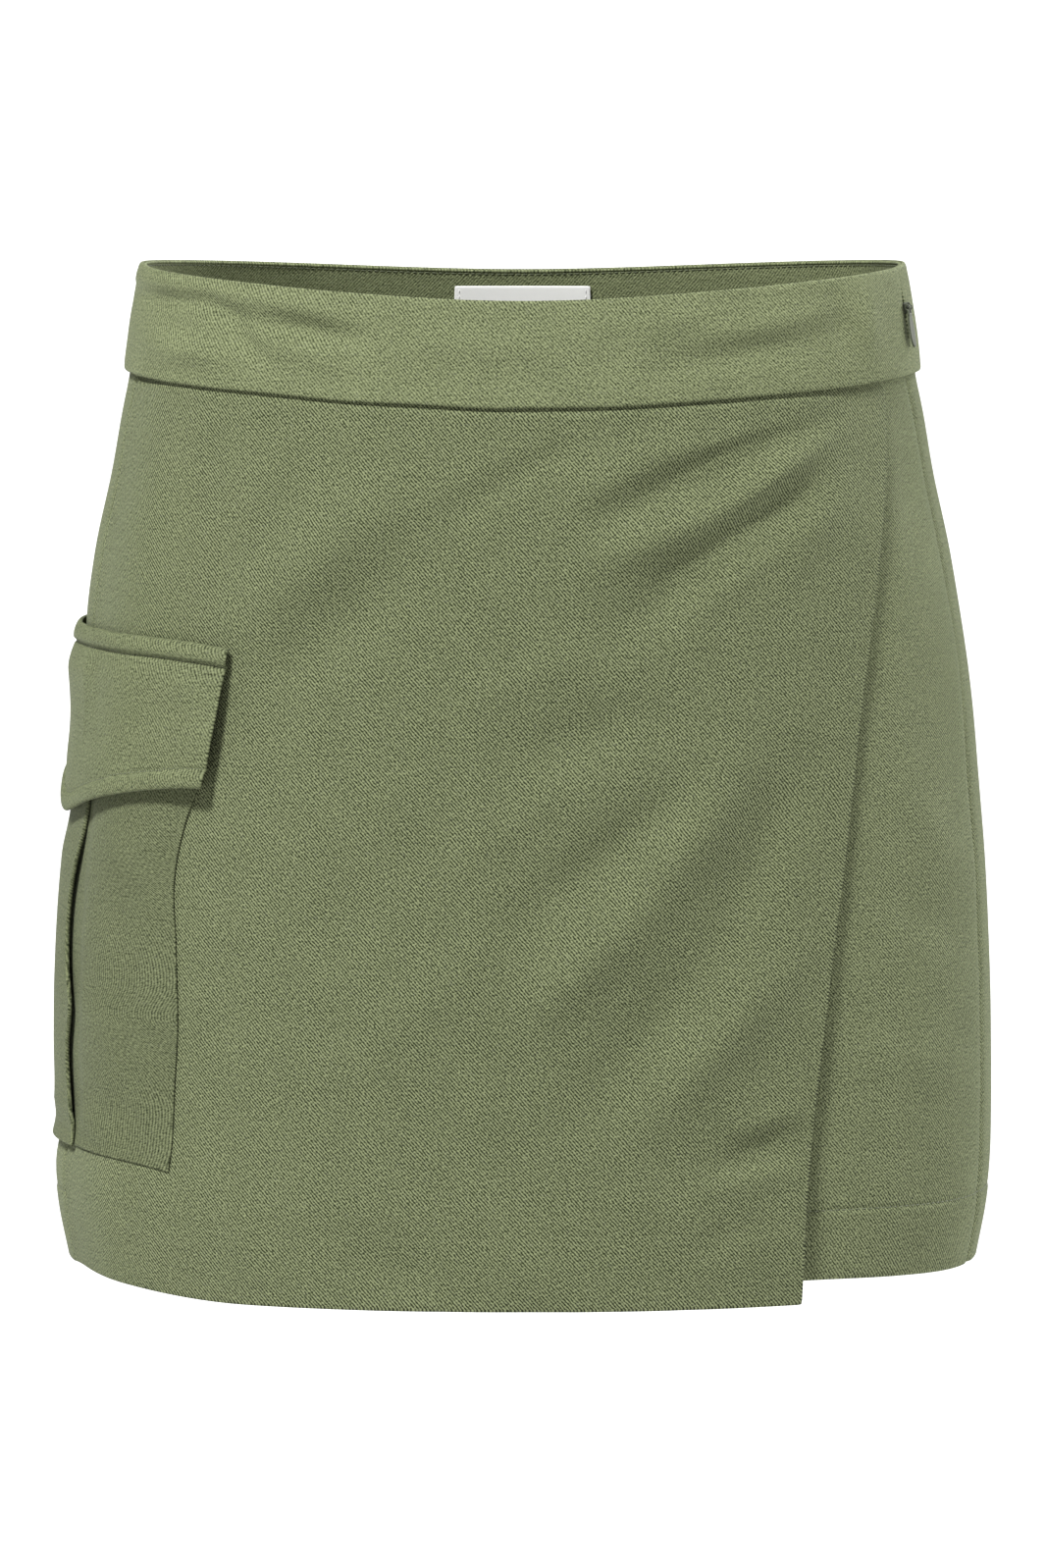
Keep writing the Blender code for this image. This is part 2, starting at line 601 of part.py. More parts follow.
def pocket_flap(collection):
    """The flap: arched at the top, hanging to a rounded point, with a roll along both edges."""
    columns = 29
    across = np.linspace(-1, 1, columns)
    ridge = FLAP_RIDGE / (FLAP_SIDE - FLAP_TOP)
    upper = (0, ridge * 0.5, ridge, ridge * 1.15)
    lower = (1 - ridge * 1.15, 1 - ridge, 1 - ridge * 0.5, 1)
    part = np.array(upper + (0.34, 0.5, 0.68) + lower)[:, None]
    along = across * (FLAP_TOP_HALF + (FLAP_LOW_HALF - FLAP_TOP_HALF) * part)
    from_middle = np.hypot(along, FLAP_POINT_ROUND) - FLAP_POINT_ROUND
    low = FLAP_SIDE + FLAP_POINT * np.clip(1 - from_middle / FLAP_POINT_HALF, 0, 1) ** 1.6
    top = FLAP_TOP + FLAP_TOP_DROP * across**4
    down = top + part * (low - top)
    height = flap_height(along, down)
    height += FLAP_RIDGE_OUT * (part <= ridge + 1e-6)
    height += FLAP_RIDGE_OUT * 0.8 * (part >= 1 - ridge - 1e-6)
    points = pocket_point(along, down, height)
    panel("pocket_flap", points, TWILL, collection)


# ---------------------------------------------------------------- zip


def side_frame(down):
    """Axes on the body at the zip: x out of the cloth, y level towards the back, z up the zip."""
    reach = 8 * MM
    above = Vector(body_point(SIDE_SEAM, max(down - reach, 0)))
    upward = (above - Vector(body_point(SIDE_SEAM, down + reach))).normalized()
    level = Vector(body_point(SIDE_SEAM, down, 1.0) - body_point(SIDE_SEAM, down, 0.0))
    along = Vector((-level.y, level.x, 0)).normalized()
    out = along.cross(upward).normalized()
    frame = Matrix((out, along, out.cross(along))).transposed().to_4x4()
    frame.translation = Vector(body_point(SIDE_SEAM, down))
    return frame


def box_mesh(name, low, high):
    """A box between two corners."""
    shape = bmesh.new()
    bmesh.ops.create_cube(shape, size=1)
    size = Vector(high) - Vector(low)
    bmesh.ops.scale(shape, vec=size, verts=shape.verts)
    bmesh.ops.translate(shape, vec=(Vector(low) + Vector(high)) / 2, verts=shape.verts)
    mesh = bpy.data.meshes.new(name)
    shape.to_mesh(mesh)
    shape.free()
    return mesh


def rod_mesh(name, radius, half_length, sides=14):
    """A rod along Y about the origin."""
    shape = bmesh.new()
    bmesh.ops.create_cone(
        shape,
        cap_ends=True,
        segments=sides,
        radius1=radius,
        radius2=radius,
        depth=2 * half_length,
        matrix=Matrix.Rotation(math.pi / 2, 4, "X"),
    )
    mesh = bpy.data.meshes.new(name)
    shape.to_mesh(mesh)
    shape.free()
    return mesh


def helper(name, mesh, frame, cutters):
    """A cutter or a joined-in shape: placed, and left out of the model itself."""
    thing = bpy.data.objects.new(name, mesh)
    cutters.objects.link(thing)
    thing.matrix_world = frame
    thing.hide_render = True
    thing.display_type = "WIRE"
    return thing


def combine(thing, other, operation):
    boolean = thing.modifiers.new(other.name, "BOOLEAN")
    boolean.operation = operation
    boolean.object = other


def zip_tape(collection, cutters):
    """The ribbon behind the side opening, slit from its top down to below the slider."""
    out = FACING_OUT - BAND_WALL - ZIP_TAPE_CLEAR
    start = 4 * MM
    down = np.linspace(start, start + ZIP_LENGTH, 18)[:, None]
    across = np.linspace(-0.5, 0.5, 5) * ZIP_TAPE_WIDTH
    turn = SIDE_SEAM + across / ring_sizes(down)[1]
    lower = -CLOTH - ZIP_TAPE_CLEAR
    behind_band = 1 - ease((down - BAND_HEIGHT + 8 * MM) / (8 * MM))
    lift = lower + (out - lower) * behind_band
    tape = panel(
        "zip_tape", body_point(turn, down, lift), ZIP_RIBBON, collection, ZIP_TAPE_WALL
    )
    slit_low = SLIDER_DOWN + SLIDER_PLATE.z / 2 + 3 * MM
    half = ZIP_TAPE_SLOT / 2
    slit = box_mesh("slit", (-8 * MM, -half, -slit_low), (8 * MM, half, 10 * MM))
    frame = side_frame(0.0)
    combine(tape, helper("tape_slit", slit, frame, cutters), "DIFFERENCE")


def zip_slider(collection, cutters):
    """A plate inside, a blade through the side opening and a pin for the pull."""
    frame = side_frame(SLIDER_DOWN)
    inside = FACING_OUT - BAND_WALL - ZIP_TAPE_CLEAR - ZIP_TAPE_WALL - SEAM - SLIDER_PLATE_EASE
    half_plate = SLIDER_PLATE / 2
    plate = box_mesh(
        "zip_slider",
        (inside - SLIDER_PLATE.x, -half_plate.y, -half_plate.z),
        (inside, half_plate.y, half_plate.z),
    )
    slider = add_object("zip_slider", plate, DARK_METAL, collection)
    slider.matrix_world = frame
    blade = box_mesh(
        "blade",
        (inside - SLIDER_PLATE.x / 2, -BLADE_WIDTH / 2, -BLADE_HEIGHT / 2),
        (PIN_LIFT + PIN_RADIUS + 0.3 * MM, BLADE_WIDTH / 2, BLADE_HEIGHT / 2),
    )
    combine(slider, helper("slider_blade", blade, frame, cutters), "UNION")
    pin = rod_mesh("pin", PIN_RADIUS, BLADE_WIDTH / 2 + SEAM + PULL_ARM)
    pin_frame = frame @ Matrix.Translation((PIN_LIFT, 0, 0))
    combine(slider, helper("slider_pin", pin, pin_frame, cutters), "UNION")


def zip_pull(collection, cutters):
    """The pull: two arms with an eye on the pin each, joined by a drop-shaped plate."""
    frame = side_frame(SLIDER_DOWN) @ Matrix.Translation((PIN_LIFT, 0, 0))
    half_arm = BLADE_WIDTH / 2 + SEAM + PULL_ARM
    head = rod_mesh("zip_pull", PULL_RING, half_arm, 18)
    pull = add_object("zip_pull", head, GREEN_METAL, collection)
    pull.matrix_world = frame

    outline = bpy.data.curves.new("drop", "CURVE")
    outline.dimensions = "2D"
    outline.fill_mode = "BOTH"
    outline.extrude = PULL_WALL / 2
    drop = outline.splines.new("POLY")
    turns = np.linspace(0, 2 * math.pi, 28, endpoint=False)
    # A drop: wide and round below, narrowing to the arms above.
    falls = PULL_LENGTH * (1 - np.cos(turns)) / 2
    widths = PULL_WIDTH / 2 * np.sin(turns) * (0.62 + 0.52 * (1 - np.cos(turns)) / 2)
    narrow = np.maximum(np.abs(widths), half_arm * (falls < PULL_LENGTH * 0.3))
    sides = np.where(turns <= math.pi, narrow, -narrow)
    drop.points.add(len(turns) - 1)
    for point, fall, side in zip(drop.points, falls, sides):
        point.co = (fall, side, 0, 1)
    drop.use_cyclic_u = True
    flat = bpy.data.objects.new("drop_curve", outline)
    cutters.objects.link(flat)
    mesh = bpy.data.meshes.new_from_object(flat.evaluated_get(bpy.context.evaluated_depsgraph_get()))
    shape = bmesh.new()
    shape.from_mesh(mesh)
    bmesh.ops.remove_doubles(shape, verts=shape.verts, dist=0.01 * MM)
    shape.to_mesh(mesh)
    shape.free()
    bpy.data.objects.remove(flat)
    # The drawing's length points down, and its thickness out of the cloth.
    stand = Matrix(((0, 0, 1, 0), (0, 1, 0, 0), (-1, 0, 0, 0), (0, 0, 0, 1)))
    combine(pull, helper("pull_drop", mesh, frame @ stand, cutters), "UNION")

    half_gap = BLADE_WIDTH / 2 + SEAM
    deep = PULL_RING + 2 * MM
    mouth = box_mesh("mouth", (-deep, -half_gap, -deep), (deep, half_gap, PULL_RING * 2))
    combine(pull, helper("pull_mouth", mouth, frame, cutters), "DIFFERENCE")
    eye = rod_mesh("eye", PIN_RADIUS + PIN_CLEARANCE, half_arm + 1 * MM)
    combine(pull, helper("pull_eye", eye, frame, cutters), "DIFFERENCE")


# ---------------------------------------------------------------- the skort


def new_collection(name):
    collection = bpy.data.collections.new(name)
    bpy.context.scene.collection.children.link(collection)
    return collection


def main():
    for thing in list(bpy.data.objects):
        bpy.data.objects.remove(thing)
    skort = new_collection("cargo_skort")
    cutters = new_collection("cutters")
    waistband(skort)
    label(skort)
    # Columns over the body and round the corner; rows above, around the crotch and in the hem.
    leg_panel("leg_front_left", 1, 1, (10, 9), (8, 7, 2), skort)
    leg_panel("leg_front_right", -1, 1, (8, 8), (6, 6, 2), skort)
    leg_panel("leg_back_left", 1, -1, (12, 9), (8, 7, 2), skort)
    leg_panel("leg_back_right", -1, -1, (12, 9), (8, 7, 2), skort)
    wrap(skort)
    pocket_bag(skort)
    pocket_flap(skort)
    zip_tape(skort, cutters)
    zip_slider(skort, cutters)
    zip_pull(skort, cutters)


main()
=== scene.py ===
"""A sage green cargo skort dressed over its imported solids: twill, hems, folds, stitches, zip."""

import math

import bpy
import numpy as np
from mathutils import Matrix, Vector


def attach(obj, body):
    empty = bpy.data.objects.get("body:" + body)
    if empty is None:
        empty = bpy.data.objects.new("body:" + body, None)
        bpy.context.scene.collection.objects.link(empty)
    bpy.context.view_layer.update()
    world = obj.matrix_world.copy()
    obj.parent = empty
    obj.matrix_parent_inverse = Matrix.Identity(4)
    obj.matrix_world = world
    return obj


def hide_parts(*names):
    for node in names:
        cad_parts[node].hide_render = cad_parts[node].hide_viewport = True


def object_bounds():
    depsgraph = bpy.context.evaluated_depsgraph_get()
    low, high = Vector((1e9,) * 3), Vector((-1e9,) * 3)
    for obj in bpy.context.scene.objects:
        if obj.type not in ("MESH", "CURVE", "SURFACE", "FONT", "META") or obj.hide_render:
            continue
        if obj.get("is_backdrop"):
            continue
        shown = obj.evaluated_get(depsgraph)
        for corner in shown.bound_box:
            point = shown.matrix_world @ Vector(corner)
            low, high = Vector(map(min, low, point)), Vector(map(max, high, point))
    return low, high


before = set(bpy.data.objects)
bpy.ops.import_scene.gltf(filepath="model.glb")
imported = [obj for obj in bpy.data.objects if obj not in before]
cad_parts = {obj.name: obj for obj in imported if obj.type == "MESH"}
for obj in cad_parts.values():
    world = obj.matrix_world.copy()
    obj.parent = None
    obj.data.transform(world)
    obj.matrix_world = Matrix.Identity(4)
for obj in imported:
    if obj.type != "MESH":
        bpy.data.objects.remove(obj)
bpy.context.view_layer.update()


# ------------------------------------------------------------------ the view
# The photograph looks at the front from a little above the waist, far enough away that the sides
# hardly converge. The camera holds that view for the whole 1065 by 1598 frame.


def add_object(name, data):
    thing = bpy.data.objects.new(name, data)
    bpy.context.scene.collection.objects.link(thing)
    return thing


lens = bpy.data.cameras.new("front_view")
lens.sensor_fit = "HORIZONTAL"
lens.sensor_width = 36.0
lens.lens = 310.5
lens.clip_end = 400.0
eye = add_object("front_view", lens)
eye.location = (0.0, -3.5, 0.15)
aim = Vector((0.0, 0.0, -0.20436))
eye.rotation_euler = (aim - eye.location).to_track_quat("-Z", "Y").to_euler()
bpy.context.scene.camera = eye


# ------------------------------------------------------------------ waistband
# One strip of cotton twill goes round the waist from the zip to the zip. It is turned in at the
# top, and its lower edge stands proud of the panels that are sewn in under it.

MM = 0.001
RINGS = np.array(
    [
        # down, left, right, front, back
        (0.000, 0.1462, 0.1462, 0.0980, 0.0980),
        (0.021, 0.1500, 0.1500, 0.1010, 0.1010),
        (0.044, 0.1529, 0.1529, 0.1040, 0.1050),
        (0.060, 0.1562, 0.1562, 0.1062, 0.1080),
        (0.082, 0.1600, 0.1600, 0.1087, 0.1120),
        (0.113, 0.1667, 0.1667, 0.1125, 0.1180),
        (0.144, 0.1702, 0.1720, 0.1155, 0.1225),
        (0.175, 0.1686, 0.1758, 0.1180, 0.1260),
        (0.205, 0.1723, 0.1785, 0.1200, 0.1285),
        (0.251, 0.1775, 0.1821, 0.1220, 0.1282),
        (0.300, 0.1790, 0.1835, 0.1230, 0.1262),
        (0.332, 0.1794, 0.1836, 0.1232, 0.1244),
        (0.350, 0.1828, 0.1832, 0.1232, 0.1232),
        (0.366, 0.1818, 0.1818, 0.1230, 0.1220),
        (0.388, 0.1777, 0.1777, 0.1226, 0.1202),
        (0.412, 0.1730, 0.1730, 0.1220, 0.1190),
    ]
)
SQUARENESS = 2.25
CLOTH = 1.2 * MM
SEAM = 0.3 * MM
SIDE_SEAM = math.radians(78.4)
BAND_HEIGHT = 42.6 * MM
BAND_OUT = 2.2 * MM
# How far each edge of the band hangs in front and behind.
BAND_TOP_DIP = (10.5 * MM, 7.3 * MM)
BAND_LOW_DIP = (9.5 * MM, 6.5 * MM)
SLIDER_DOWN = 17.5 * MM


def ease(t):
    """0 to 1 with level ends: three squares less two cubes."""
    t = np.clip(t, 0, 1)
    return t * t * (3 - 2 * t)


def smooth_through(at, stops, values):
    """Cubic pieces through the values, with slopes from their neighbours."""
    at = np.clip(at, stops[0], stops[-1])
    slopes = np.gradient(values, stops)
    piece = np.clip(np.searchsorted(stops, at, side="right") - 1, 0, len(stops) - 2)
    step = (stops[1:] - stops[:-1])[piece]
    t = (at - stops[piece]) / step
    value = (1 + 2 * t) * (1 - t) ** 2 * values[piece] + t**2 * (3 - 2 * t) * values[piece + 1]
    return value + t * (1 - t) * step * ((1 - t) * slopes[piece] - t * slopes[piece + 1])


def ring_sizes(down):
    """Half widths at -X and +X and half depths in front and behind, at this drop."""
    return [smooth_through(down, RINGS[:, 0], RINGS[:, column]) for column in (1, 2, 3, 4)]


def body_point(turn, down, lift=0.0):
    """A level ray from the axis meets a super-ellipse at this turn, then goes out by lift along
    the super-ellipse's normal. The power 2.25 makes it a little squarer than an ellipse."""
    turn, down, lift = np.broadcast_arrays(turn, down, lift)
    left, right, front, back = ring_sizes(down)
    ray_x, ray_y = np.sin(turn), -np.cos(turn)
    half_width = np.where(ray_x < 0, left, right)
    half_depth = np.where(ray_y < 0, front, back)
    reach = (
        np.abs(ray_x / half_width) ** SQUARENESS + np.abs(ray_y / half_depth) ** SQUARENESS
    ) ** (-1 / SQUARENESS)
    x, y = reach * ray_x, reach * ray_y
    normal_x = np.sign(x) * np.abs(x) ** (SQUARENESS - 1) / half_width**SQUARENESS
    normal_y = np.sign(y) * np.abs(y) ** (SQUARENESS - 1) / half_depth**SQUARENESS
    length = np.hypot(normal_x, normal_y)
    return np.stack([x + lift * normal_x / length, y + lift * normal_y / length, -down], axis=-1)


def dip(turn, front, back):
    """How far a line that is level at the sides hangs: the power 1.5 of the turn's cosine."""
    facing = np.cos(turn)
    return np.where(facing > 0, front, back) * np.abs(facing) ** 1.5


def band_top(turn):
    return dip(turn, *BAND_TOP_DIP)


def band_low(turn):
    return BAND_HEIGHT + dip(turn, *BAND_LOW_DIP)


def folds(table, across, down):
    """Soft ridges and troughs between two points each: a bell across the line, strongest at the
    middle of its length and fading past both ends. Columns as in the tables' first lines."""
    height = np.zeros(np.broadcast(across, down).shape)
    for from_x, from_down, to_x, to_down, width, tall in np.array(table) * MM:
        run_x, run_down = to_x - from_x, to_down - from_down
        length = math.hypot(run_x, run_down)
        along = ((across - from_x) * run_x + (down - from_down) * run_down) / length**2
        beside = ((across - from_x) * run_down - (down - from_down) * run_x) / length
        middle = np.clip(along, 0, 1)
        past = (along - middle) * length
        bell = np.exp(-(beside**2 + past**2) / width**2)
        height += tall * bell * (0.35 + 0.65 * np.sin(math.pi * middle))
    return height


def ripple(across, down, size, seed):
    """A few crossing sine waves about this size, for the unevenness of worn cloth, from -1 to 1."""
    random = np.random.default_rng(seed)
    total = np.zeros(np.broadcast(across, down).shape)
    for _ in range(6):
        heading = random.uniform(0, math.pi)
        wave = 2 * math.pi / (size * random.uniform(0.6, 1.7))
        phase = random.uniform(0, 2 * math.pi)
        total += np.sin(wave * (across * math.cos(heading) + down * math.sin(heading)) + phase)
    return total / 6


def unit(vectors):
    return vectors / np.maximum(np.linalg.norm(vectors, axis=-1, keepdims=True), 1e-12)


def mesh_piece(name, points, faces, flat, paint):
    """An object from points, faces and each point's place on the flat cloth, kept as its UV."""
    mesh = bpy.data.meshes.new(name)
    mesh.from_pydata(points, [], faces)
    if flat is not None:
        corner_points = np.empty(len(mesh.loops), np.int32)
        mesh.loops.foreach_get("vertex_index", corner_points)
        layer = mesh.uv_layers.new(name="cloth")
        layer.uv.foreach_set("vector", flat[corner_points].astype(np.float32).ravel())
    mesh.shade_smooth()
    mesh.materials.append(paint)
    return add_object(name, mesh)


def cloth(name, outer, wall, flat, paint):
    """A closed sheet of cloth round a grid of points on its outer face, rows going down.

    The inner face lies one wall inside, along the cross product of the grid's two directions,
    and half circles join the two faces all round, so that each edge is a soft fold."""
    rows, columns = outer.shape[:2]
    downwards, sideways = np.gradient(outer, axis=0), np.gradient(outer, axis=1)
    normal = unit(np.cross(downwards, sideways))
    wall = np.broadcast_to(wall, (rows, columns))[..., None]
    inner = outer - wall * normal
    outward = np.zeros_like(outer)
    outward[0] -= unit(downwards[0])
    outward[-1] += unit(downwards[-1])
    outward[:, 0] -= unit(sideways[:, 0])
    outward[:, -1] += unit(sideways[:, -1])
    index = np.arange(rows * columns).reshape(rows, columns)
    rim = np.concatenate([index[0, :-1], index[:-1, -1], index[-1, :0:-1], index[:0:-1, 0]])
    centre = ((outer + inner) / 2).reshape(-1, 3)[rim]
    half = wall.reshape(-1, 1)[rim] / 2
    up, out = normal.reshape(-1, 3)[rim], unit(outward.reshape(-1, 3)[rim])
    angles = np.radians([36, 72, 108, 144])
    rounds = [centre + half * (math.cos(a) * up + math.sin(a) * out) for a in angles]
    count = rows * columns
    face = np.stack([index[:-1, :-1], index[1:, :-1], index[1:, 1:], index[:-1, 1:]], axis=-1)
    face = face.reshape(-1, 4)
    loops = [rim] + [2 * count + k * len(rim) + np.arange(len(rim)) for k in range(4)]
    loops.append(rim + count)
    strips = [
        np.stack([a, np.roll(a, -1), np.roll(b, -1), b], axis=-1) for a, b in zip(loops, loops[1:])
    ]
    points = np.concatenate([outer.reshape(-1, 3), inner.reshape(-1, 3), *rounds])
    flat = np.broadcast_to(flat, (rows, columns, 2)).reshape(-1, 2)
    flat = np.concatenate([flat, flat] + [flat[rim]] * 4)
    faces = np.concatenate([face, face[:, ::-1] + count, *strips])
    return mesh_piece(name, points, faces, flat, paint)


def spaced(length, step, edge=0.0):
    """Places from 0 to length about a step apart, and closer near an edge that is rounded."""
    even = np.linspace(edge, length - edge, max(3, round((length - 2 * edge) / step)))
    near = edge * np.array([0, 0.12, 0.35, 0.65])
    return np.concatenate([near, even, length - near[::-1]]) if edge else even


def along_rows(points):
    """How far each point of a grid lies along its row, from the row's first point."""
    steps = np.linalg.norm(np.diff(points, axis=1), axis=-1)
    return np.concatenate([np.zeros((len(points), 1)), np.cumsum(steps, axis=1)], axis=1)


def on_cloth(across, down):
    """Places on the flat cloth, by how far across and down it they lie."""
    return np.stack(np.broadcast_arrays(across, down), axis=-1)


def grid_normals(points):
    """Unit vectors along the cross product of a grid's two directions."""
    return unit(np.cross(np.gradient(points, axis=0), np.gradient(points, axis=1)))


class Wire:
    """A value in a material. Arithmetic on it adds Math nodes, and node() adds any other node."""

    def __init__(self, tree, socket=None):
        self.tree, self.socket = tree, socket

    def node(self, kind, settings, inputs, output=0):
        """The settings are set first, then each input gets its link or value."""
        made = self.tree.nodes.new("ShaderNode" + kind)
        for key, value in settings.items():
            setattr(made, key, value)
        for key, value in inputs.items():
            if isinstance(value, Wire):
                self.tree.links.new(value.socket, made.inputs[key])
            else:
                made.inputs[key].default_value = value
        return Wire(self.tree, made.outputs[output])

    def math(self, operation, *others):
        return self.node("Math", {"operation": operation}, dict(enumerate((self, *others))))

    def parts(self):
        """Its numbers along x, y and z, each as a wire."""
        split = self.node("SeparateXYZ", {}, {0: self}).socket.node
        return [Wire(self.tree, socket) for socket in split.outputs]

    def __add__(self, other):
        return self.math("ADD", other)

    def __sub__(self, other):
        return self.math("SUBTRACT", other)

    def __rsub__(self, other):
        return self.node("Math", {"operation": "SUBTRACT"}, {0: other, 1: self})

    def __mul__(self, other):
        return self.math("MULTIPLY", other)

    __radd__, __rmul__ = __add__, __mul__

    def between(self, low, high):
        """0 where this is below low, 1 above high, and smooth in between."""
        return self.node(
            "MapRange",
            {"interpolation_type": "SMOOTHSTEP"},
            {"Value": self, "From Min": low, "From Max": high},
        )


def new_paint(name, roughness, **constants):
    """A material with its shader's own sockets set, and the wire that its nodes start from."""
    material = bpy.data.materials.new(name)
    material.use_nodes = True
    shader = material.node_tree.nodes["Principled BSDF"]
    shader.inputs["Roughness"].default_value = roughness
    for key, value in constants.items():
        shader.inputs[key.replace("_", " ").title().replace("Ior", "IOR")].default_value = value
    return material, shader, Wire(material.node_tree)


def plug(shader, socket, wire):
    wire.tree.links.new(wire.socket, shader.inputs[socket])


def cloth_mm(wire):
    """How far across and down the flat cloth a point lies, in mm."""
    place = wire.node("UVMap", {"uv_map": "cloth"}, {})
    return wire.node("VectorMath", {"operation": "SCALE"}, {0: place, "Scale": 1000.0}).parts()[:2]


def blend_colours(factor, first, second):
    """A mix of two colours, each a wire or a colour."""
    return factor.node("Mix", {"data_type": "RGBA"}, {0: factor, 6: first, 7: second}, output=2)


def twill(name, ribs=1.0, mottle=1.0, shade=1.0):
    """Cotton twill: diagonal ribs 1.04 mm apart that fall to the right, broken by single yarns.
    Each float has its own tone, pale and dark fibres are mixed in, some weft threads are thicker,
    and the dye is faintly clouded. The shade scales both its colours: away from 1 it is painted
    light or painted shade, making a piece lighter or darker for how the light falls on it."""
    material, shader, wire = new_paint(name, 0.88, sheen_weight=0.06, sheen_roughness=0.40)
    shader.inputs["Sheen Tint"].default_value = (0.80, 0.88, 0.70, 1)
    shader.inputs["Specular IOR Level"].default_value = 0.14
    across, down = cloth_mm(wire)
    over_ribs, along_ribs = across - down, across + down

    def noise(x, y, detail=2.0):
        """Noise about 0, that many features to each mm of x and y."""
        vector = wire.node("CombineXYZ", {}, {0: x, 1: y})
        made = wire.node("TexNoise", {}, {"Vector": vector, "Scale": 1.0, "Detail": detail})
        return made - 0.5

    wander = noise(across * 0.30, down * 0.30, 1.0)
    rib = (across * 4.49 - down * 4.03 + wander * 3.0).math("SINE")
    yarn = (across * 2.50 + down * 4.44 + wander * 5.0).math("SINE")
    floats = noise(over_ribs * 0.9, along_ribs * 0.45)
    fibre = noise(across * 1.15, down * 1.15)
    fleck = noise(across * 0.45, down * 1.3)
    weft = noise(across * 0.035, down * 1.2, 1.0).between(0.08, 0.24)
    cloud = noise(across * 0.06, down * 0.06, 3.0)
    tone = 0.5 + rib * (0.52 * ribs) + yarn * (0.11 * ribs) + floats * (0.8 * mottle)
    tone = tone + fibre * (2.4 * mottle) + fleck * (0.5 * mottle) + cloud * 0.15 - weft * 0.12
    dark, light = (0.014, 0.019, 0.006), (0.180, 0.201, 0.106)
    dark, light = tuple(shade * c for c in dark), tuple(shade * c for c in light)
    colour = blend_colours(tone.between(-0.15, 1.15), (*dark, 1), (*light, 1))
    grey = noise(across * 0.5, down * 1.0).between(0.02, 0.30) * 0.30
    pale = tuple(shade * c for c in (0.112, 0.119, 0.087))
    plug(shader, "Base Color", blend_colours(grey, colour, (*pale, 1)))
    height = rib * (0.8 * ribs) + yarn * (0.2 * ribs) + floats * 2.0 + fibre * 2.0 + fleck
    bump = wire.node("Bump", {}, {"Strength": 1.0, "Distance": 0.00012, "Height": height})
    plug(shader, "Normal", bump)
    return material


TWILL = twill("sage_twill")
# Painted light: the legs' twill is painted 8 % lighter than the wrap's, and the band's 19 %
# lighter, for the light that falls on them.
QUIET_TWILL = twill("quiet_sage_twill", ribs=0.75, mottle=0.90, shade=1.08)
BAND_TWILL = twill("band_twill", ribs=0.50, mottle=0.65, shade=1.19)

# Creases of the band as seen from the front: a line's two ends, its width and height, in mm.
BAND_CREASES = (
    # from_x, from_down, to_x, to_down, width, tall
    (-146, 6, -112, 8, 3.5, 0.9),
    (-146, 12, -118, 13.5, 3.6, -1.3),
    (-120, 13, -104, 20, 3.4, -1.2),
    (-106, 19, -62, 26, 3.8, -1.3),
    (-112, 20, -98, 33, 3.2, -1.1),
    (-112, 8, -58, 18, 4.0, 1.1),
    (-140, 31, -112, 33, 5.0, 1.4),
    (-140, 20, -124, 23, 3.5, -0.5),
    (-100, 24, -66, 36, 5.0, 1.0),
    (-60, 27, 10, 30, 6.0, 0.5),
    (30, 20, 92, 17, 6.0, 0.6),
    (52, 36, 112, 26, 6.0, -0.8),
    (62, 28, 118, 16, 5.0, 0.8),
    (118, 12, 122, 30, 3.6, -0.7),
    (130, 10, 132, 34, 4.0, 0.7),
)
# The same kind of creases round the back, by how far each lies from the centre back.
BACK_BAND_CREASES = (
    # from_x, from_down, to_x, to_down, width, tall
    (-120, 16, -70, 24, 5.0, 0.7),
    (-105, 25, -60, 32, 6.0, -0.6),
    (65, 28, 112, 16, 5.0, 0.7),
    (80, 34, 128, 24, 6.0, -0.6),
    (-30, 20, 25, 23, 8.0, 0.3),
)


def band_turn(columns, down):
    """Turns from one side of the zip, round the front and the back, to the other. The seam's lips
    part about the slider by a smooth bump in the slot's half width."""
    near = 1 - ease(np.abs(down - SLIDER_DOWN) / (9 * MM))
    half_slot = (SEAM / 2 + (1.25 * MM - SEAM / 2) * near) / ring_sizes(down)[1]
    part = np.linspace(-1, 1, columns)
    return SIDE_SEAM - math.pi + part * (math.pi - half_slot)


def band_creases(points, down):
    across = points[..., 0]
    front = folds(BAND_CREASES, across, down) * (points[..., 1] < 0)
    return front + folds(BACK_BAND_CREASES, across, down) * (points[..., 1] >= 0)


def band_strip(name, out, inset, paint, crease, curl, tuck=0.0):
    """The strip at a height above the body surface: its edges are turned in over a quarter circle
    as wide as curl, its middle has the creases, and its lower edge wavers a little. The last 5 mm
    may tuck in behind the panels on a smooth step."""
    columns = 380
    part = spaced(1.0, 0.055, 0.035)[:, None]
    around = np.linspace(-1, 1, columns) * math.pi + SIDE_SEAM - math.pi
    waver = 0.5 * MM * ripple(around * 0.13, 0.0, 0.055, 4)
    top = band_top(around) + inset + CLOTH / 2
    low = band_low(around) - SEAM / 2 - inset - CLOTH / 2 + waver + tuck
    down = top + part * (low - top)
    turn = band_turn(columns, down)
    room = np.minimum(down - top, low - down)
    turned_in = curl * (1 - np.sqrt(1 - np.clip(1 - room / curl, 0, 1) ** 2))
    plain = body_point(turn, down)
    relief = band_creases(plain, down) + 0.22 * MM * ripple(turn * 0.13, down, 0.03, 7)
    lift = out - turned_in * 0.5 + relief * crease * ease(room / (6 * MM))
    lift = lift - tuck * ease((down - low) / (5 * MM) + 1)
    points = body_point(turn, down, lift)
    # One length for all rows, so that the creases don't pull the weave askew.
    flat = on_cloth(along_rows(points).mean(axis=0), down)
    return cloth(name, points, CLOTH, flat, paint)


BAND_CREASE_DEPTH = 2.2  # times the heights in the tables
waistband = band_strip(
    "waistband_cloth", BAND_OUT, 0.0, BAND_TWILL, BAND_CREASE_DEPTH, 1.6 * MM
)
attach(waistband, "skort")
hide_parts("waistband")


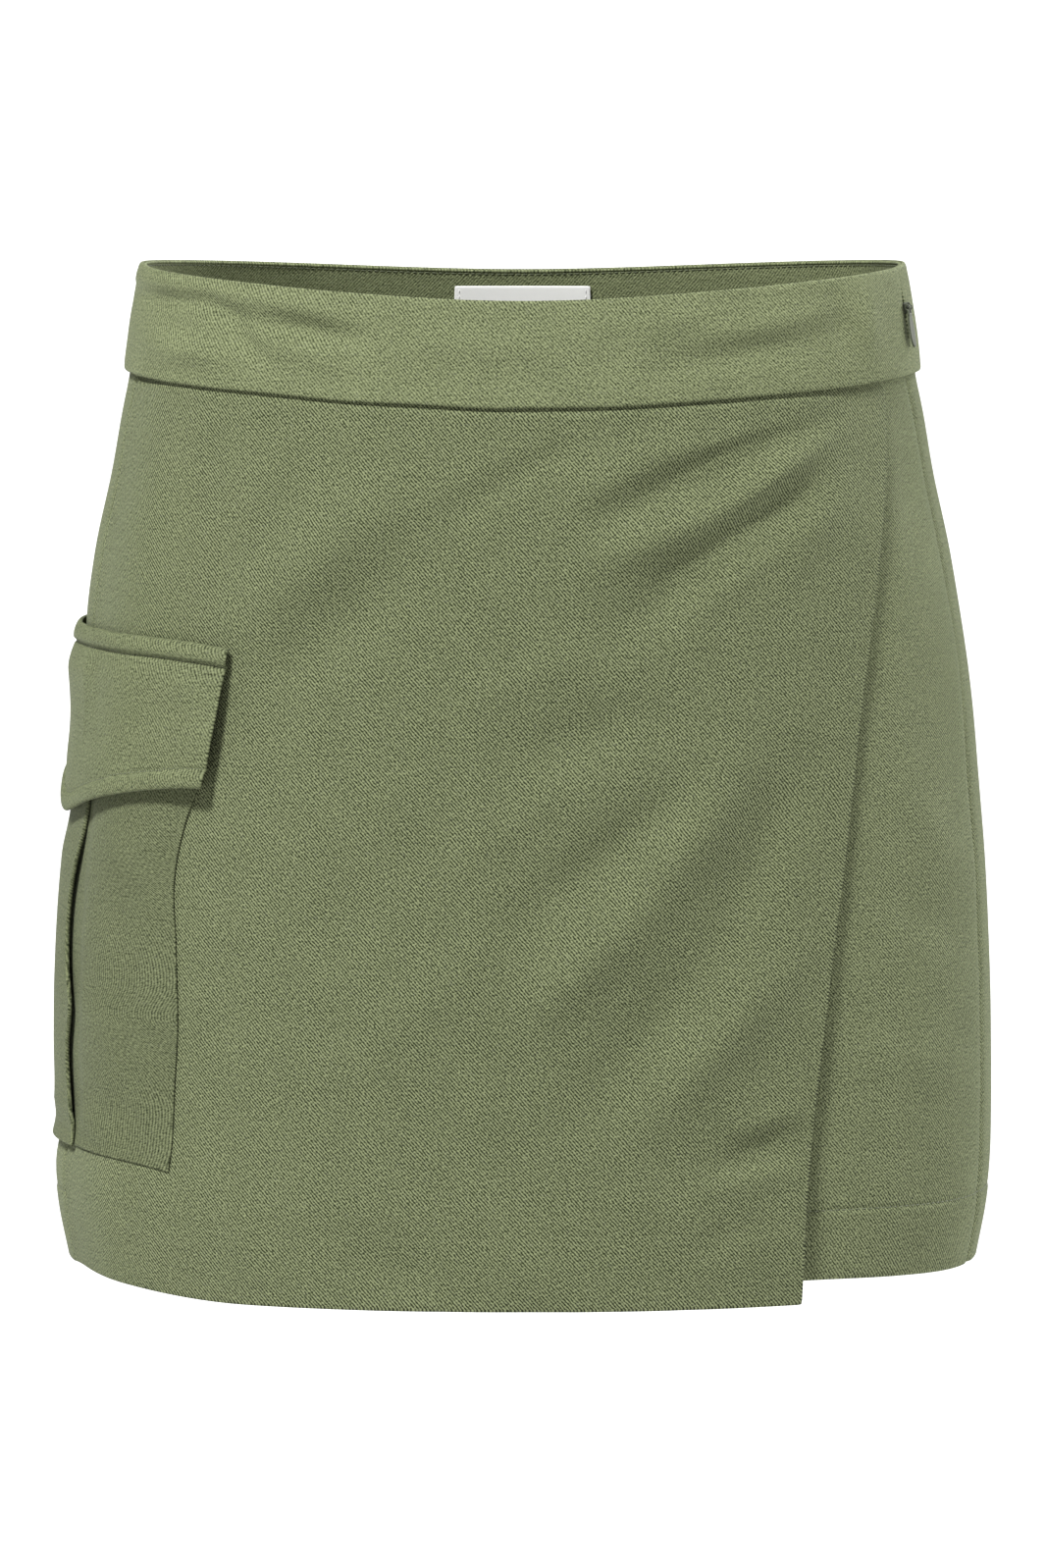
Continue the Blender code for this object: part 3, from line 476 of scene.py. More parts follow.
# ------------------------------------------------------------------ waistband facing
# The inner layer of the waistband, cut like the outer one. A row of small machine stitches just
# below the top edge holds the seam allowance down, and shows inside the back of the opening.

FACING_OUT = BAND_OUT - CLOTH - SEAM
# Painted light: the facing's twill is painted 30 % lighter, for the light that reaches inside the
# back.
INNER_TWILL = twill("inner_twill", ribs=0.4, mottle=0.5, shade=1.3)
FACING_CREASE_DEPTH = 1.1
FACING_INSET = 0.4 * MM
FACING_TUCK = 2.6 * MM
facing = band_strip(
    "waistband_facing_cloth",
    FACING_OUT,
    FACING_INSET,
    INNER_TWILL,
    FACING_CREASE_DEPTH,
    1.2 * MM,
    FACING_TUCK,
)
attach(facing, "skort")
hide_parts("waistband_facing")


def thread_paint(name, colour):
    """Sewing thread: a plain colour with a twist that runs round it."""
    material, shader, wire = new_paint(name, 0.62, sheen_weight=0.15)
    place = wire.node("TexCoord", {}, {}, output=3)
    fuzz = wire.node("TexNoise", {}, {"Vector": place, "Scale": 2600.0, "Detail": 1.0})
    darker = tuple(0.55 * c for c in colour[:3]) + (1,)
    plug(shader, "Base Color", blend_colours(fuzz.between(0.35, 0.65), darker, colour))
    return material


GREEN_THREAD = thread_paint("green_thread", (0.105, 0.122, 0.062, 1))


def sewn(name, path, normal, pitch, length, thick, paint):
    """Stitches along a path: each is a spindle whose thickness follows the root of a sine from
    end to end, with five corners, sunk a little into the cloth under the path."""
    travelled = np.concatenate([[0], np.cumsum(np.linalg.norm(np.diff(path, axis=0), axis=1))])
    count = max(1, int(travelled[-1] / pitch))
    middles = (np.arange(count) + 0.5) * travelled[-1] / count
    run = np.linspace(-0.5, 0.5, 5)
    at = middles[:, None] + run * length
    line = np.stack([np.interp(at, travelled, path[:, k]) for k in range(3)], axis=-1)
    up = unit(np.stack([np.interp(at, travelled, normal[:, k]) for k in range(3)], axis=-1))
    ahead = unit(np.gradient(line, axis=1))
    side = unit(np.cross(ahead, up))
    swell = np.sqrt(np.cos(run * math.pi * 0.94))[None, :, None, None]
    turns = np.arange(5) * 2 * math.pi / 5
    around = (
        np.cos(turns)[None, None, :, None] * up[:, :, None]
        + np.sin(turns)[None, None, :, None] * side[:, :, None]
    )
    bow = (0.25 - run**2)[None, :, None] * thick * 1.6 * up
    points = (line + bow)[:, :, None] + around * swell * thick / 2
    index = np.arange(count * 25).reshape(count, 5, 5)
    following = np.roll(index, -1, axis=2)
    walls = np.stack([index[:, :-1], index[:, 1:], following[:, 1:], following[:, :-1]], axis=-1)
    faces = walls.reshape(-1, 4).tolist()
    faces += index[:, 0].tolist() + index[:, -1, ::-1].tolist()
    return mesh_piece(name, points.reshape(-1, 3), faces, None, paint)


line_turn = np.linspace(SIDE_SEAM - 2 * math.pi + 0.03, SIDE_SEAM - 0.03, 900)
line_down = band_top(line_turn) + 2.6 * MM
inside = FACING_OUT - CLOTH
understitch = sewn(
    "understitching",
    body_point(line_turn, line_down, inside - 0.10 * MM),
    body_point(line_turn, line_down, 0.0) - body_point(line_turn, line_down, 1.0),
    2.6 * MM,
    1.9 * MM,
    0.42 * MM,
    GREEN_THREAD,
)
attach(understitch, "skort")


# ------------------------------------------------------------------ label
# A woven satin tag lies on the facing at the centre back. It is left bare, with both its short
# ends folded under and sewn down by a few white stitches.


def satin():
    """White satin: fine warp ribs up the tag and a faint weft, with a soft shine."""
    material, shader, wire = new_paint("white_satin", 0.5, sheen_weight=0.2)
    across, down = cloth_mm(wire)
    warp = (across * (2 * math.pi / 0.42)).math("SINE")
    weft = (down * (2 * math.pi / 0.35)).math("SINE")
    tone = 0.5 + warp * 0.3 + weft * 0.2
    pale, shade = (0.72, 0.72, 0.705, 1), (0.60, 0.60, 0.585, 1)
    plug(shader, "Base Color", blend_colours(tone.between(0.0, 1.0), shade, pale))
    bump = wire.node("Bump", {}, {"Strength": 0.3, "Distance": 0.0001, "Height": tone})
    plug(shader, "Normal", bump)
    return material


SATIN = satin()
LABEL_WIDTH = 53.5 * MM
LABEL_HEIGHT = 22 * MM
LABEL_TOP = 14.5 * MM
LABEL_REACH = 0.1  # from the axis to the centre back
label_wall = 0.7 * MM
tag_turn = math.pi + np.linspace(-0.5, 0.5, 70) * (LABEL_WIDTH - label_wall) / LABEL_REACH
tag_down = LABEL_TOP + label_wall / 2 + spaced(LABEL_HEIGHT - label_wall, 0.8 * MM)[:, None]
tag_middle = np.abs(tag_turn - math.pi) * LABEL_REACH / (LABEL_WIDTH / 2)
tag_bow = 0.35 * MM * (1 - tag_middle**2) + 0.5 * MM * ease((tag_middle - 0.9) / 0.06)
tag_lift = FACING_OUT - CLOTH - SEAM - 0.3 * MM + 0.3 * MM * (tag_bow / MM - 0.5)
tag_points = body_point(tag_turn, tag_down, np.minimum(tag_lift, FACING_OUT - CLOTH - 0.35 * MM))
tag_flat = on_cloth((tag_turn - math.pi) * LABEL_REACH, tag_down)
label = cloth("label_cloth", tag_points, label_wall, tag_flat, SATIN)
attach(label, "skort")
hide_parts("label")

WHITE_THREAD = thread_paint("white_thread", (0.70, 0.70, 0.68, 1))
for side, sign in (("left", 1), ("right", -1)):
    end_down = np.linspace(LABEL_TOP + 1 * MM, LABEL_TOP + LABEL_HEIGHT - 1 * MM, 60)
    end_turn = math.pi + sign * (LABEL_WIDTH / 2 - 1.8 * MM) / LABEL_REACH
    end_lift = FACING_OUT - CLOTH - SEAM - label_wall - 0.35 * MM
    tacks = sewn(
        "label_stitches_" + side,
        body_point(end_turn, end_down, end_lift),
        body_point(end_turn, end_down, 0.0) - body_point(end_turn, end_down, 1.0),
        2.4 * MM,
        1.7 * MM,
        0.38 * MM,
        WHITE_THREAD,
    )
    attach(tacks, "skort")


# ------------------------------------------------------------------ legs of the shorts
# Four twill panels: a front and a back for each leg, joined at the side seams, the inner leg
# seams and the curved seam between the legs. The hems are turned up 29 mm and stitched once.

HEM_DEPTH = 29 * MM
LEG_HEM = 388 * MM
LEG_HEM_RISE = 3.8 * MM
CROTCH = 276 * MM
CROTCH_BACK = 12 * MM
LEG_CORNER = 42 * MM
LEG_SPREAD = 0.045
VALLEY_DEEP = 52 * MM
CORNER_PULL = 0.56
SEAM_LEAVES = {1: 212 * MM, -1: 205 * MM}
HEM_WALL = 1.8 * MM
# Each panel stops this far from its seam line, so that the two folded edges just meet.
SEAM_EDGE = CLOTH / 2 - 0.1 * MM
UNDER_WRAP_SINK = 1.6 * MM
AT_SEAM_SINK = 1.5 * MM
WRAP_LANDING = 45 * MM
BACK_FOLD_DEPTH = 1.8  # times the heights in the table
LEG_RIPPLE = 0.30 * MM
SEAM_PULL, SEAM_PULL_WIDTH = 0.55 * MM, 1.8 * MM
SIDE_DIP, SIDE_DIP_WIDTH = 0.8 * MM, 3.5 * MM
WRAP_EDGE = np.array(
    [
        # down, across
        (0.040, 0.1384),
        (0.069, 0.1389),
        (0.092, 0.1376),
        (0.121, 0.1347),
        (0.157, 0.1300),
        (0.216, 0.1235),
        (0.273, 0.1165),
        (0.348, 0.1086),
        (0.395, 0.1062),
    ]
)

# Folds of the legs, by x and drop as seen from the front and from the back.
FRONT_LEG_FOLDS = (
    # from_x, from_down, to_x, to_down, width, tall
    (154, 58, 168, 120, 5.0, 1.0),
    (146, 60, 152, 118, 5.0, -0.9),
    (163, 120, 176, 190, 6.0, 1.0),
    (150, 128, 158, 200, 8.0, -0.8),
    (140, 232, 170, 262, 9.0, -0.9),
    (150, 205, 176, 240, 8.0, 0.8),
    (132, 296, 168, 312, 11.0, 0.9),
    (126, 330, 150, 345, 8.0, -0.6),
)
BACK_LEG_FOLDS = (
    # from_x, from_down, to_x, to_down, width, tall
    (18, 218, 96, 200, 8.0, 1.8),
    (20, 236, 92, 224, 7.5, -1.7),
    (26, 256, 110, 243, 8.5, 2.0),
    (32, 276, 100, 268, 8.0, -1.5),
    (40, 296, 96, 292, 9.0, 1.1),
    (-18, 219, -92, 198, 8.0, 1.7),
    (-20, 237, -98, 230, 7.5, -1.7),
    (-28, 258, -104, 244, 8.5, 1.9),
    (-34, 277, -90, 273, 8.0, -1.4),
    (-42, 299, -84, 296, 9.0, 1.0),
    (136, 56, 92, 112, 10.0, 1.8),
    (118, 54, 70, 98, 9.0, -1.4),
    (96, 52, 48, 80, 8.0, 1.0),
    (-136, 58, -94, 118, 10.0, 1.7),
    (-118, 54, -68, 102, 9.0, -1.3),
    (-92, 52, -52, 78, 8.0, 0.9),
    (148, 150, 126, 205, 12.0, 1.2),
    (132, 150, 108, 200, 11.0, -1.0),
    (4, 90, 34, 150, 13.0, 0.9),
    (-6, 96, -40, 152, 13.0, 0.9),
    (-64, 322, -48, 387, 11.0, 1.3),
    (-88, 326, -82, 387, 10.0, -1.1),
    (66, 318, 84, 387, 11.0, 1.4),
    (98, 326, 104, 387, 10.0, -1.1),
    (126, 330, 134, 384, 10.0, 1.1),
    (-124, 344, -132, 387, 9.0, 1.0),
)


def evenly(line, columns):
    """The line cut into equal steps of its own length."""
    travelled = np.concatenate([[0], np.cumsum(np.hypot(*np.diff(line, axis=0).T))])
    at = np.linspace(0, travelled[-1], columns)
    return np.stack([np.interp(at, travelled, line[:, axis]) for axis in (0, 1)], axis=1)


def leg_section(down, side, facing, body_columns, corner_columns):
    """One level of a leg: the body's super-ellipse from the side seam to 42 mm from the middle,
    a Bezier corner that turns in as the valley between the legs deepens, and a straight run back
    along the other leg. The valley's depth follows a quarter ellipse from body to crotch."""
    left, right, front, back = ring_sizes(down)
    half_width = right if side > 0 else left
    surface_y = -front if facing > 0 else back
    fall = np.clip((down - SEAM_LEAVES[facing]) / (CROTCH - SEAM_LEAVES[facing]), 0, 1)
    inseam_y = CROTCH_BACK - facing * SEAM_EDGE
    end_y = surface_y + (inseam_y - surface_y) * (1 - math.sqrt(1 - fall * fall))
    valley = abs(end_y - surface_y)
    depth = min(valley, VALLEY_DEEP)
    swing = math.pi / 2 * ease(depth / VALLEY_DEEP)
    end_x = SEAM_EDGE * math.cos(swing) - 0.1 * MM * math.sin(swing)
    end_x += LEG_SPREAD * max(down - CROTCH, 0)
    share = 1 - (LEG_CORNER / half_width) ** SQUARENESS
    corner_depth = abs(surface_y) * share ** (1 / SQUARENESS)
    corner_turn = math.atan2(LEG_CORNER, corner_depth)
    if facing < 0:
        corner_turn = math.pi - corner_turn
    seam_turn = SIDE_SEAM - facing * SEAM_EDGE / half_width
    line = body_point(side * np.linspace(seam_turn, corner_turn, 240), down)[:, :2]
    line[:, 0] *= side
    arriving = np.array([-math.cos(swing), math.sin(swing) * facing])
    leaving = line[-1] - line[-2]
    leaving /= np.hypot(*leaving)
    start = line[-1]
    turned = np.array([end_x, surface_y + facing * depth])
    first = start + leaving * CORNER_PULL * (start[0] - end_x)
    pull_back = start[0] * math.cos(swing) + depth * math.sin(swing)
    second = turned - arriving * CORNER_PULL * pull_back
    t = np.linspace(0, 1, 160)[:, None]
    corner = (1 - t) ** 3 * start + 3 * (1 - t) ** 2 * t * first
    corner += 3 * (1 - t) * t**2 * second + t**3 * turned
    if valley > depth:
        corner = np.vstack([corner, [[end_x, end_y]]])
    section = np.vstack([evenly(line, body_columns + 1)[:-1], evenly(corner, corner_columns)])
    section[:, 0] *= side
    return section


def furrow(room, width=0.9 * MM, depth=0.45 * MM):
    """A bell-shaped groove where a row of stitches draws the cloth in; room is the way to it."""
    return -depth * np.exp(-((room / width) ** 2))


def leg_level(turn, level):
    """Where a level lies: the band's lower line at the top, and the hem's slight rise below."""
    part = (level - BAND_HEIGHT) / (LEG_HEM - BAND_HEIGHT)
    waist_dip = dip(turn, *BAND_LOW_DIP) + SEAM / 2
    hem_rise = LEG_HEM_RISE * ease((SIDE_SEAM - np.abs(turn)) / math.radians(35))
    from_top = np.clip(1 - part * 2, 0, 1) ** 2
    return level + waist_dip * from_top - hem_rise * np.clip(part * 2 - 1, 0, 1) ** 2


def under_wrap(turn):
    """0 at the wrap's side seam, rising to 1 over the 45 mm in which it lifts off the seam."""
    return ease((turn + SIDE_SEAM) * ring_sizes(250 * MM)[0] / WRAP_LANDING)


def leg_lift(points, turn, down, level, to_seam, side, facing):
    """How far a leg's cloth stands off its plain form: folds, fine unevenness, the hem's second
    layer and the stitches' furrow, less the pull of the seams and what the wrap hides."""
    table = FRONT_LEG_FOLDS if facing > 0 else BACK_LEG_FOLDS
    relief = (1.0 if facing > 0 else BACK_FOLD_DEPTH) * folds(table, points[..., 0], down)
    relief = relief + LEG_RIPPLE * ripple(points[..., 0] + 0.4 * points[..., 1], down, 0.055, 11)
    # The inner sides of the legs lie together, and the pocket lies flat on its panel.
    outside = ease((np.abs(points[..., 0]) - 12 * MM) / (20 * MM))
    outside = np.maximum(outside, 1 - ease((level - 190 * MM) / (30 * MM)))
    if side < 0 and facing < 0:
        ahead = (math.radians(127) - np.abs(turn)) / math.radians(10)
        level_in = np.minimum(level - 128 * MM, 356 * MM - level) / (14 * MM)
        outside = outside * (1 - ease(ahead) * ease(level_in))
    from_band = ease((level - BAND_HEIGHT) / (14 * MM))
    hem_top = LEG_HEM - HEM_DEPTH
    lift = relief * outside * from_band - SEAM_PULL * np.exp(-((to_seam / SEAM_PULL_WIDTH) ** 2))
    lift = lift + 0.35 * MM * ease((level - hem_top) / (2.5 * MM)) - 0.35 * MM
    if facing < 0:
        from_side = (np.abs(turn) - SIDE_SEAM) * ring_sizes(down)[1]
        lift = lift - SIDE_DIP * np.exp(-((from_side / SIDE_DIP_WIDTH) ** 2))
    lift = lift + furrow(level - hem_top - 1.0 * MM)
    if facing > 0:
        if side < 0:
            hidden = np.ones_like(turn)
            at_side_seam = 1 - under_wrap(turn)
        else:
            edge_x = smooth_through(down, WRAP_EDGE[:, 0], WRAP_EDGE[:, 1])
            hidden = ease((edge_x - 14 * MM - points[..., 0]) / (16 * MM))
            at_side_seam = 0.0
        sunk = -UNDER_WRAP_SINK - AT_SEAM_SINK * at_side_seam
        lift = lift * (1 - hidden) + sunk * hidden
    # Where the two legs' panels face each other, they touch along the seam between them.
    facing_pair = ease((14 * MM - np.abs(points[..., 0])) / (8 * MM))
    return lift * (1 - facing_pair * ease((level - 205 * MM) / (25 * MM)))


def leg_cloth(side, facing, columns, node):
    """The sections stacked, dropped to their levels and moved along the grid's normals by
    leg_lift. Returns the cloth, after making the row of stitches along its hem."""
    top, low = BAND_HEIGHT - 1.2 * MM, LEG_HEM - HEM_WALL / 2
    hem_top = LEG_HEM - HEM_DEPTH
    levels = np.concatenate(
        [
            top + spaced(CROTCH - 90 * MM - top, 3.6 * MM),
            np.linspace(CROTCH - 90 * MM, CROTCH - 12 * MM, 26)[1:],
            CROTCH - 12 * MM * (1 - np.sin(np.linspace(0, math.pi / 2, 16)))[1:] ** 1.5,
            np.linspace(CROTCH, hem_top - 4 * MM, 22)[1:],
            np.linspace(hem_top - 4 * MM, hem_top + 4 * MM, 17)[1:],
            np.linspace(hem_top + 4 * MM, low, 12)[1:],
        ]
    )
    section = np.array([leg_section(max(v, 0), side, facing, *columns) for v in levels])
    if side * facing > 0:
        section = section[:, ::-1]
    turn = np.arctan2(section[..., 0], -section[..., 1])
    level = np.broadcast_to(levels[:, None], turn.shape)
    down = leg_level(turn, level)
    points = np.concatenate([section, -down[..., None]], axis=-1)
    travelled = along_rows(points)
    to_seam = np.minimum(travelled, travelled[:, -1:] - travelled)
    if side * facing > 0:
        travelled = travelled - travelled[:, -1:]
    normal = grid_normals(points)
    lift = leg_lift(points, turn, down, level, to_seam, side, facing)
    points = points + normal * lift[..., None]
    wall = CLOTH + (HEM_WALL - CLOTH) * ease((level - hem_top) / (1.5 * MM))
    flat = on_cloth(travelled, down)
    piece = cloth(node + "_cloth", points, wall, flat, QUIET_TWILL)
    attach(piece, "skort")
    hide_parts(node)
    row = int(np.argmin(np.abs(levels - hem_top - 1.0 * MM)))
    on_hem = points[row] + normal[row] * 0.02 * MM
    pitch, length, thick = 3.0 * MM, 2.3 * MM, 0.42 * MM
    stitches = sewn(node + "_hem_stitches", on_hem, normal[row], pitch, length, thick, GREEN_THREAD)
    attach(stitches, "skort")
    return piece


LEG_CUTS = {
    # node: side, facing, columns over the body and round the corner, flat width, share filled
    "leg_front_left": (1, 1, (84, 48), 0.322, 0.72),
    "leg_front_right": (-1, 1, (40, 36), 0.322, 0.72),
    "leg_back_left": (1, -1, (104, 48), 0.378, 0.80),
    "leg_back_right": (-1, -1, (104, 48), 0.378, 0.80),
}
for node, (side, facing, columns, cut_width, filled) in LEG_CUTS.items():
    leg = leg_cloth(side, facing, columns, node)


# ------------------------------------------------------------------ wrap
# A single twill panel crosses the front. It is sewn in at the waist and at the right side seam,
# and hangs free along its folded left edge and its blind hem, with pulls from the left hip.

WRAP_HEM = 392.5 * MM
WRAP_HEM_RISE = 5.5 * MM
WRAP_STANDOFF = 2.8 * MM
WRAP_WALL = 1.5 * MM
WRAP_FOLD_DEPTH = 1.5  # times the heights in the table
WRAP_RIPPLE = 0.25 * MM
EDGE_SINK, EDGE_SINK_WIDTH = 1.6 * MM, 26 * MM
# The large folds, then the smaller pulls under the band and along the hem and the free edge.
WRAP_FOLDS = (
    # from_x, from_down, to_x, to_down, width, tall
    (64, 60, 16, 87, 8.0, 1.8),
    (112, 57, 33, 92, 7.0, -2.4),
    (110, 67, 78, 87, 7.5, 2.8),
    (78, 87, 24, 111, 8.0, 2.6),
    (108, 80, 82, 100, 8.0, -1.8),
    (82, 100, 34, 137, 9.0, -2.4),
    (-40, 74, -102, 131, 13.0, 2.6),
    (-44, 112, -94, 158, 14.0, -1.8),
    (50, 166, -6, 184, 11.0, -1.8),
    (60, 196, 0, 245, 10.0, -2.2),
    (78, 190, 50, 234, 11.0, 2.8),
    (50, 234, 4, 281, 11.0, 2.8),
    (100, 190, 78, 247, 12.0, -2.4),
    (78, 247, 22, 318, 12.0, -2.0),
    (100, 260, 48, 322, 10.0, 2.2),
    (104, 328, 74, 338, 8.5, -2.0),
    (-66, 368, -32, 386, 12.0, -1.6),
    (104, 56, 52, 70, 4.5, 0.9),
    (98, 74, 60, 90, 4.0, -0.7),
    (120, 84, 96, 118, 6.0, 0.9),
    (26, 60, -24, 90, 5.0, -0.8),
    (-4, 66, -44, 92, 6.0, 0.6),
    (-84, 56, -104, 96, 5.0, 0.6),
    (-112, 56, -124, 96, 5.0, -0.6),
    (30, 140, -20, 160, 7.0, 0.8),
    (14, 196, -30, 226, 7.0, 0.7),
    (-10, 250, -60, 300, 12.0, 0.9),
    (-34, 210, -80, 262, 14.0, -0.8),
    (122, 60, 70, 92, 3.2, 0.7),
    (108, 96, 66, 128, 4.0, 0.7),
    (92, 92, 50, 116, 3.4, -0.6),
    (98, 340, 66, 348, 4.5, 0.9),
    (102, 318, 80, 326, 4.5, 0.8),
    (92, 356, 62, 372, 6.0, -0.6),
    (-12, 366, 18, 390, 9.0, 0.8),
    (40, 362, 58, 390, 8.0, -0.6),
    (-112, 352, -96, 386, 7.0, 0.7),
)


def turn_at(across, down):
    """The turn of the front's point this far across: the super-ellipse solved for its depth."""
    left, right, front, _ = ring_sizes(down)
    half_width = np.where(across < 0, left, right)
    depth = front * (1 - np.abs(across / half_width) ** SQUARENESS) ** (1 / SQUARENESS)
    return np.arctan2(across, depth)


def wrap_lift(turn, down):
    """The wrap's outer face: flush at its side seam, hanging off the legs elsewhere, with its
    folds. It is pushed out at the hem, by the legs' hems, and lies closer along the free edge."""
    past_band = down - band_low(turn)
    across = body_point(turn, down)[..., 0]
    hem = ease((down - WRAP_HEM + 2 * HEM_DEPTH) / HEM_DEPTH)
    hang = WRAP_STANDOFF * ease(past_band / (55 * MM)) + 1.0 * MM * hem
    from_edge = smooth_through(down, WRAP_EDGE[:, 0], WRAP_EDGE[:, 1]) - across
    upper = 1 - ease((down - 0.15) / 0.2)
    hang = hang - EDGE_SINK * np.exp(-((from_edge / EDGE_SINK_WIDTH) ** 2)) * upper
    hang = hang + WRAP_FOLD_DEPTH * folds(WRAP_FOLDS, across, down) * ease(past_band / (18 * MM))
    hang = hang + WRAP_RIPPLE * ripple(across, down, 0.050, 21) * ease(past_band / (30 * MM))
    return (CLOTH + SEAM + np.maximum(hang, -1.2 * MM)) * under_wrap(turn)


hem_top = WRAP_HEM - HEM_DEPTH
levels = np.concatenate(
    [
        np.linspace(BAND_HEIGHT - 1.2 * MM, BAND_HEIGHT + 5 * MM, 11),
        np.linspace(BAND_HEIGHT + 5 * MM, hem_top, 170)[1:],
        np.linspace(hem_top, WRAP_HEM - HEM_WALL / 2, 20)[1:],
    ]
)[:, None]
edge_x = smooth_through(levels, WRAP_EDGE[:, 0], WRAP_EDGE[:, 1]) - WRAP_WALL / 2
last = turn_at(edge_x, levels)
# The edge stands off the body, which carries it out sideways too.
outward = (body_point(last, levels, 1.0) - body_point(last, levels, 0.0))[..., 0]
last = turn_at(edge_x - wrap_lift(last, levels) * outward, levels)
first = -SIDE_SEAM + SEAM_EDGE / ring_sizes(levels)[0]
steps = np.concatenate(
    [0.015 * spaced(1.0, 0.2)[:-1], np.linspace(0.015, 0.985, 180), np.linspace(0.985, 1, 9)[1:]]
)
turn = first + steps * (last - first)
part = (levels - BAND_HEIGHT) / (WRAP_HEM - BAND_HEIGHT)
to_side = (-turn - math.radians(45)) / (SIDE_SEAM - math.radians(45))
down = levels + (dip(turn, *BAND_LOW_DIP) + SEAM / 2) * np.clip(1 - part, 0, 2) ** 2
down = down - WRAP_HEM_RISE * ease(to_side) * np.clip(part * 2 - 1, 0, 1) ** 2
plain = body_point(turn, down)
across = plain[..., 0]
to_edge = (edge_x - across) / MM
to_band = np.maximum(levels - BAND_HEIGHT, 0) / MM
to_hem = (WRAP_HEM - levels) / MM
to_side = along_rows(plain)
# The cloth turns in under the band. The side seam's allowance lies under this edge and lifts it,
# and the hem and the free edge are two layers thick.
lift = wrap_lift(turn, down) - 1.3 * MM * np.exp(-((to_band / 1.4) ** 2))
lift = lift + 0.55 * MM * np.exp(-((to_side / (6 * MM)) ** 2)) * (1 - np.exp(-to_side / (0.5 * MM)))
lift = lift - 0.30 * MM * np.exp(-((to_side / (0.8 * MM)) ** 2))
lift = lift + 0.30 * MM * np.exp(-((to_edge / 9.0) ** 2))
lift = lift + 0.30 * MM * ease((HEM_DEPTH / MM - to_hem) / 5.0)
wrap_points = body_point(turn, down, lift)
travelled = along_rows(wrap_points)
centre = np.array([np.interp(0.0, row_x, row_u) for row_x, row_u in zip(across, travelled)])
wrap_flat = on_cloth(travelled - centre[:, None], down)
wrap_wall = np.maximum(
    CLOTH + (WRAP_WALL - CLOTH) * np.exp(-((to_edge / 12.0) ** 2)),
    CLOTH + (HEM_WALL - CLOTH) * ease((HEM_DEPTH / MM - to_hem) / 3.0),
)
wrap = cloth("wrap_cloth", wrap_points, wrap_wall, wrap_flat, TWILL)
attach(wrap, "skort")
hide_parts("wrap_front")


# ------------------------------------------------------------------ cargo pocket
# A patch of the same twill over the right side seam. Its cloth is folded into a box pleat that
# stands proud down the middle, so that the pocket can open out, and its bottom is sewn flat.

POCKET_CENTRE = -9 * MM
POCKET_TOP = 160 * MM
POCKET_BOTTOM = 340 * MM
POCKET_HALF = 80.5 * MM
POCKET_WALL = 0.8 * MM
POCKET_CLEAR = 0.25 * MM
POCKET_LEVEL = 250 * MM
# Painted shade: the pocket's twill is painted 17 % darker, to tone down the light that falls on
# that side.
POCKET_TWILL = twill("pocket_twill", ribs=0.50, mottle=0.70, shade=0.83)
PLEAT_HALF = 15 * MM
PLEAT_INNER = 5 * MM
PLEAT_TOP = 4.4 * MM
# How much further the pocket's front edge and the pleat's front fold reach at each drop.
FRONT_EDGE = np.array(
    [
        # down, further forward
        (0.160, 0.0080),
        (0.198, 0.0056),
        (0.207, 0.0023),
        (0.2175, -0.0003),
        (0.233, -0.0019),
        (0.255, 0.0001),
        (0.288, 0.0018),
        (0.317, 0.0001),
        (0.344, -0.0012),
    ]
)
PLEAT_EDGE = np.array(
    [
        # down, further forward
        (0.160, 0.0),
        (0.219, 0.0030),
        (0.245, -0.0030),
        (0.258, -0.0036),
        (0.273, -0.0016),
        (0.286, 0.0022),
        (0.300, -0.0006),
        (0.315, -0.0003),
        (0.330, 0.0032),
        (0.345, 0.0070),
    ]
)
POCKET_CREASES = (
    # from_along, from_down, to_along, to_down, width, tall
    (78, 214, 36, 230, 8.0, 0.9),
    (70, 250, 30, 246, 9.0, -0.5),
    (74, 330, 34, 318, 7.0, -0.9),
    (66, 338, 30, 332, 5.0, 0.8),
    (60, 300, 26, 284, 10.0, 0.8),
    (-68, 215, -30, 230, 8.0, 0.8),
    (-66, 312, -30, 296, 10.0, 0.9),
    (-70, 330, -34, 322, 7.0, -0.7),
)


def turn_along(distance, start, down):
    """The turn reached by going this far round the ring at one drop, read off its own length."""
    turns = start + np.linspace(-math.pi, math.pi, 2881)
    points = body_point(turns, down)
    travelled = np.concatenate([[0], np.cumsum(np.hypot(*np.diff(points[:, :2], axis=0).T))])
    return np.interp(distance, travelled - travelled[len(turns) // 2], turns)


def pocket_point(along, down, height):
    """A place over the panels: along from the pocket's middle, to the front where above zero."""
    turn = turn_along(along + POCKET_CENTRE, -SIDE_SEAM, POCKET_LEVEL)
    base = np.where(turn > -SIDE_SEAM, wrap_lift(turn, down), 0.0)
    return body_point(turn, down, base + height)


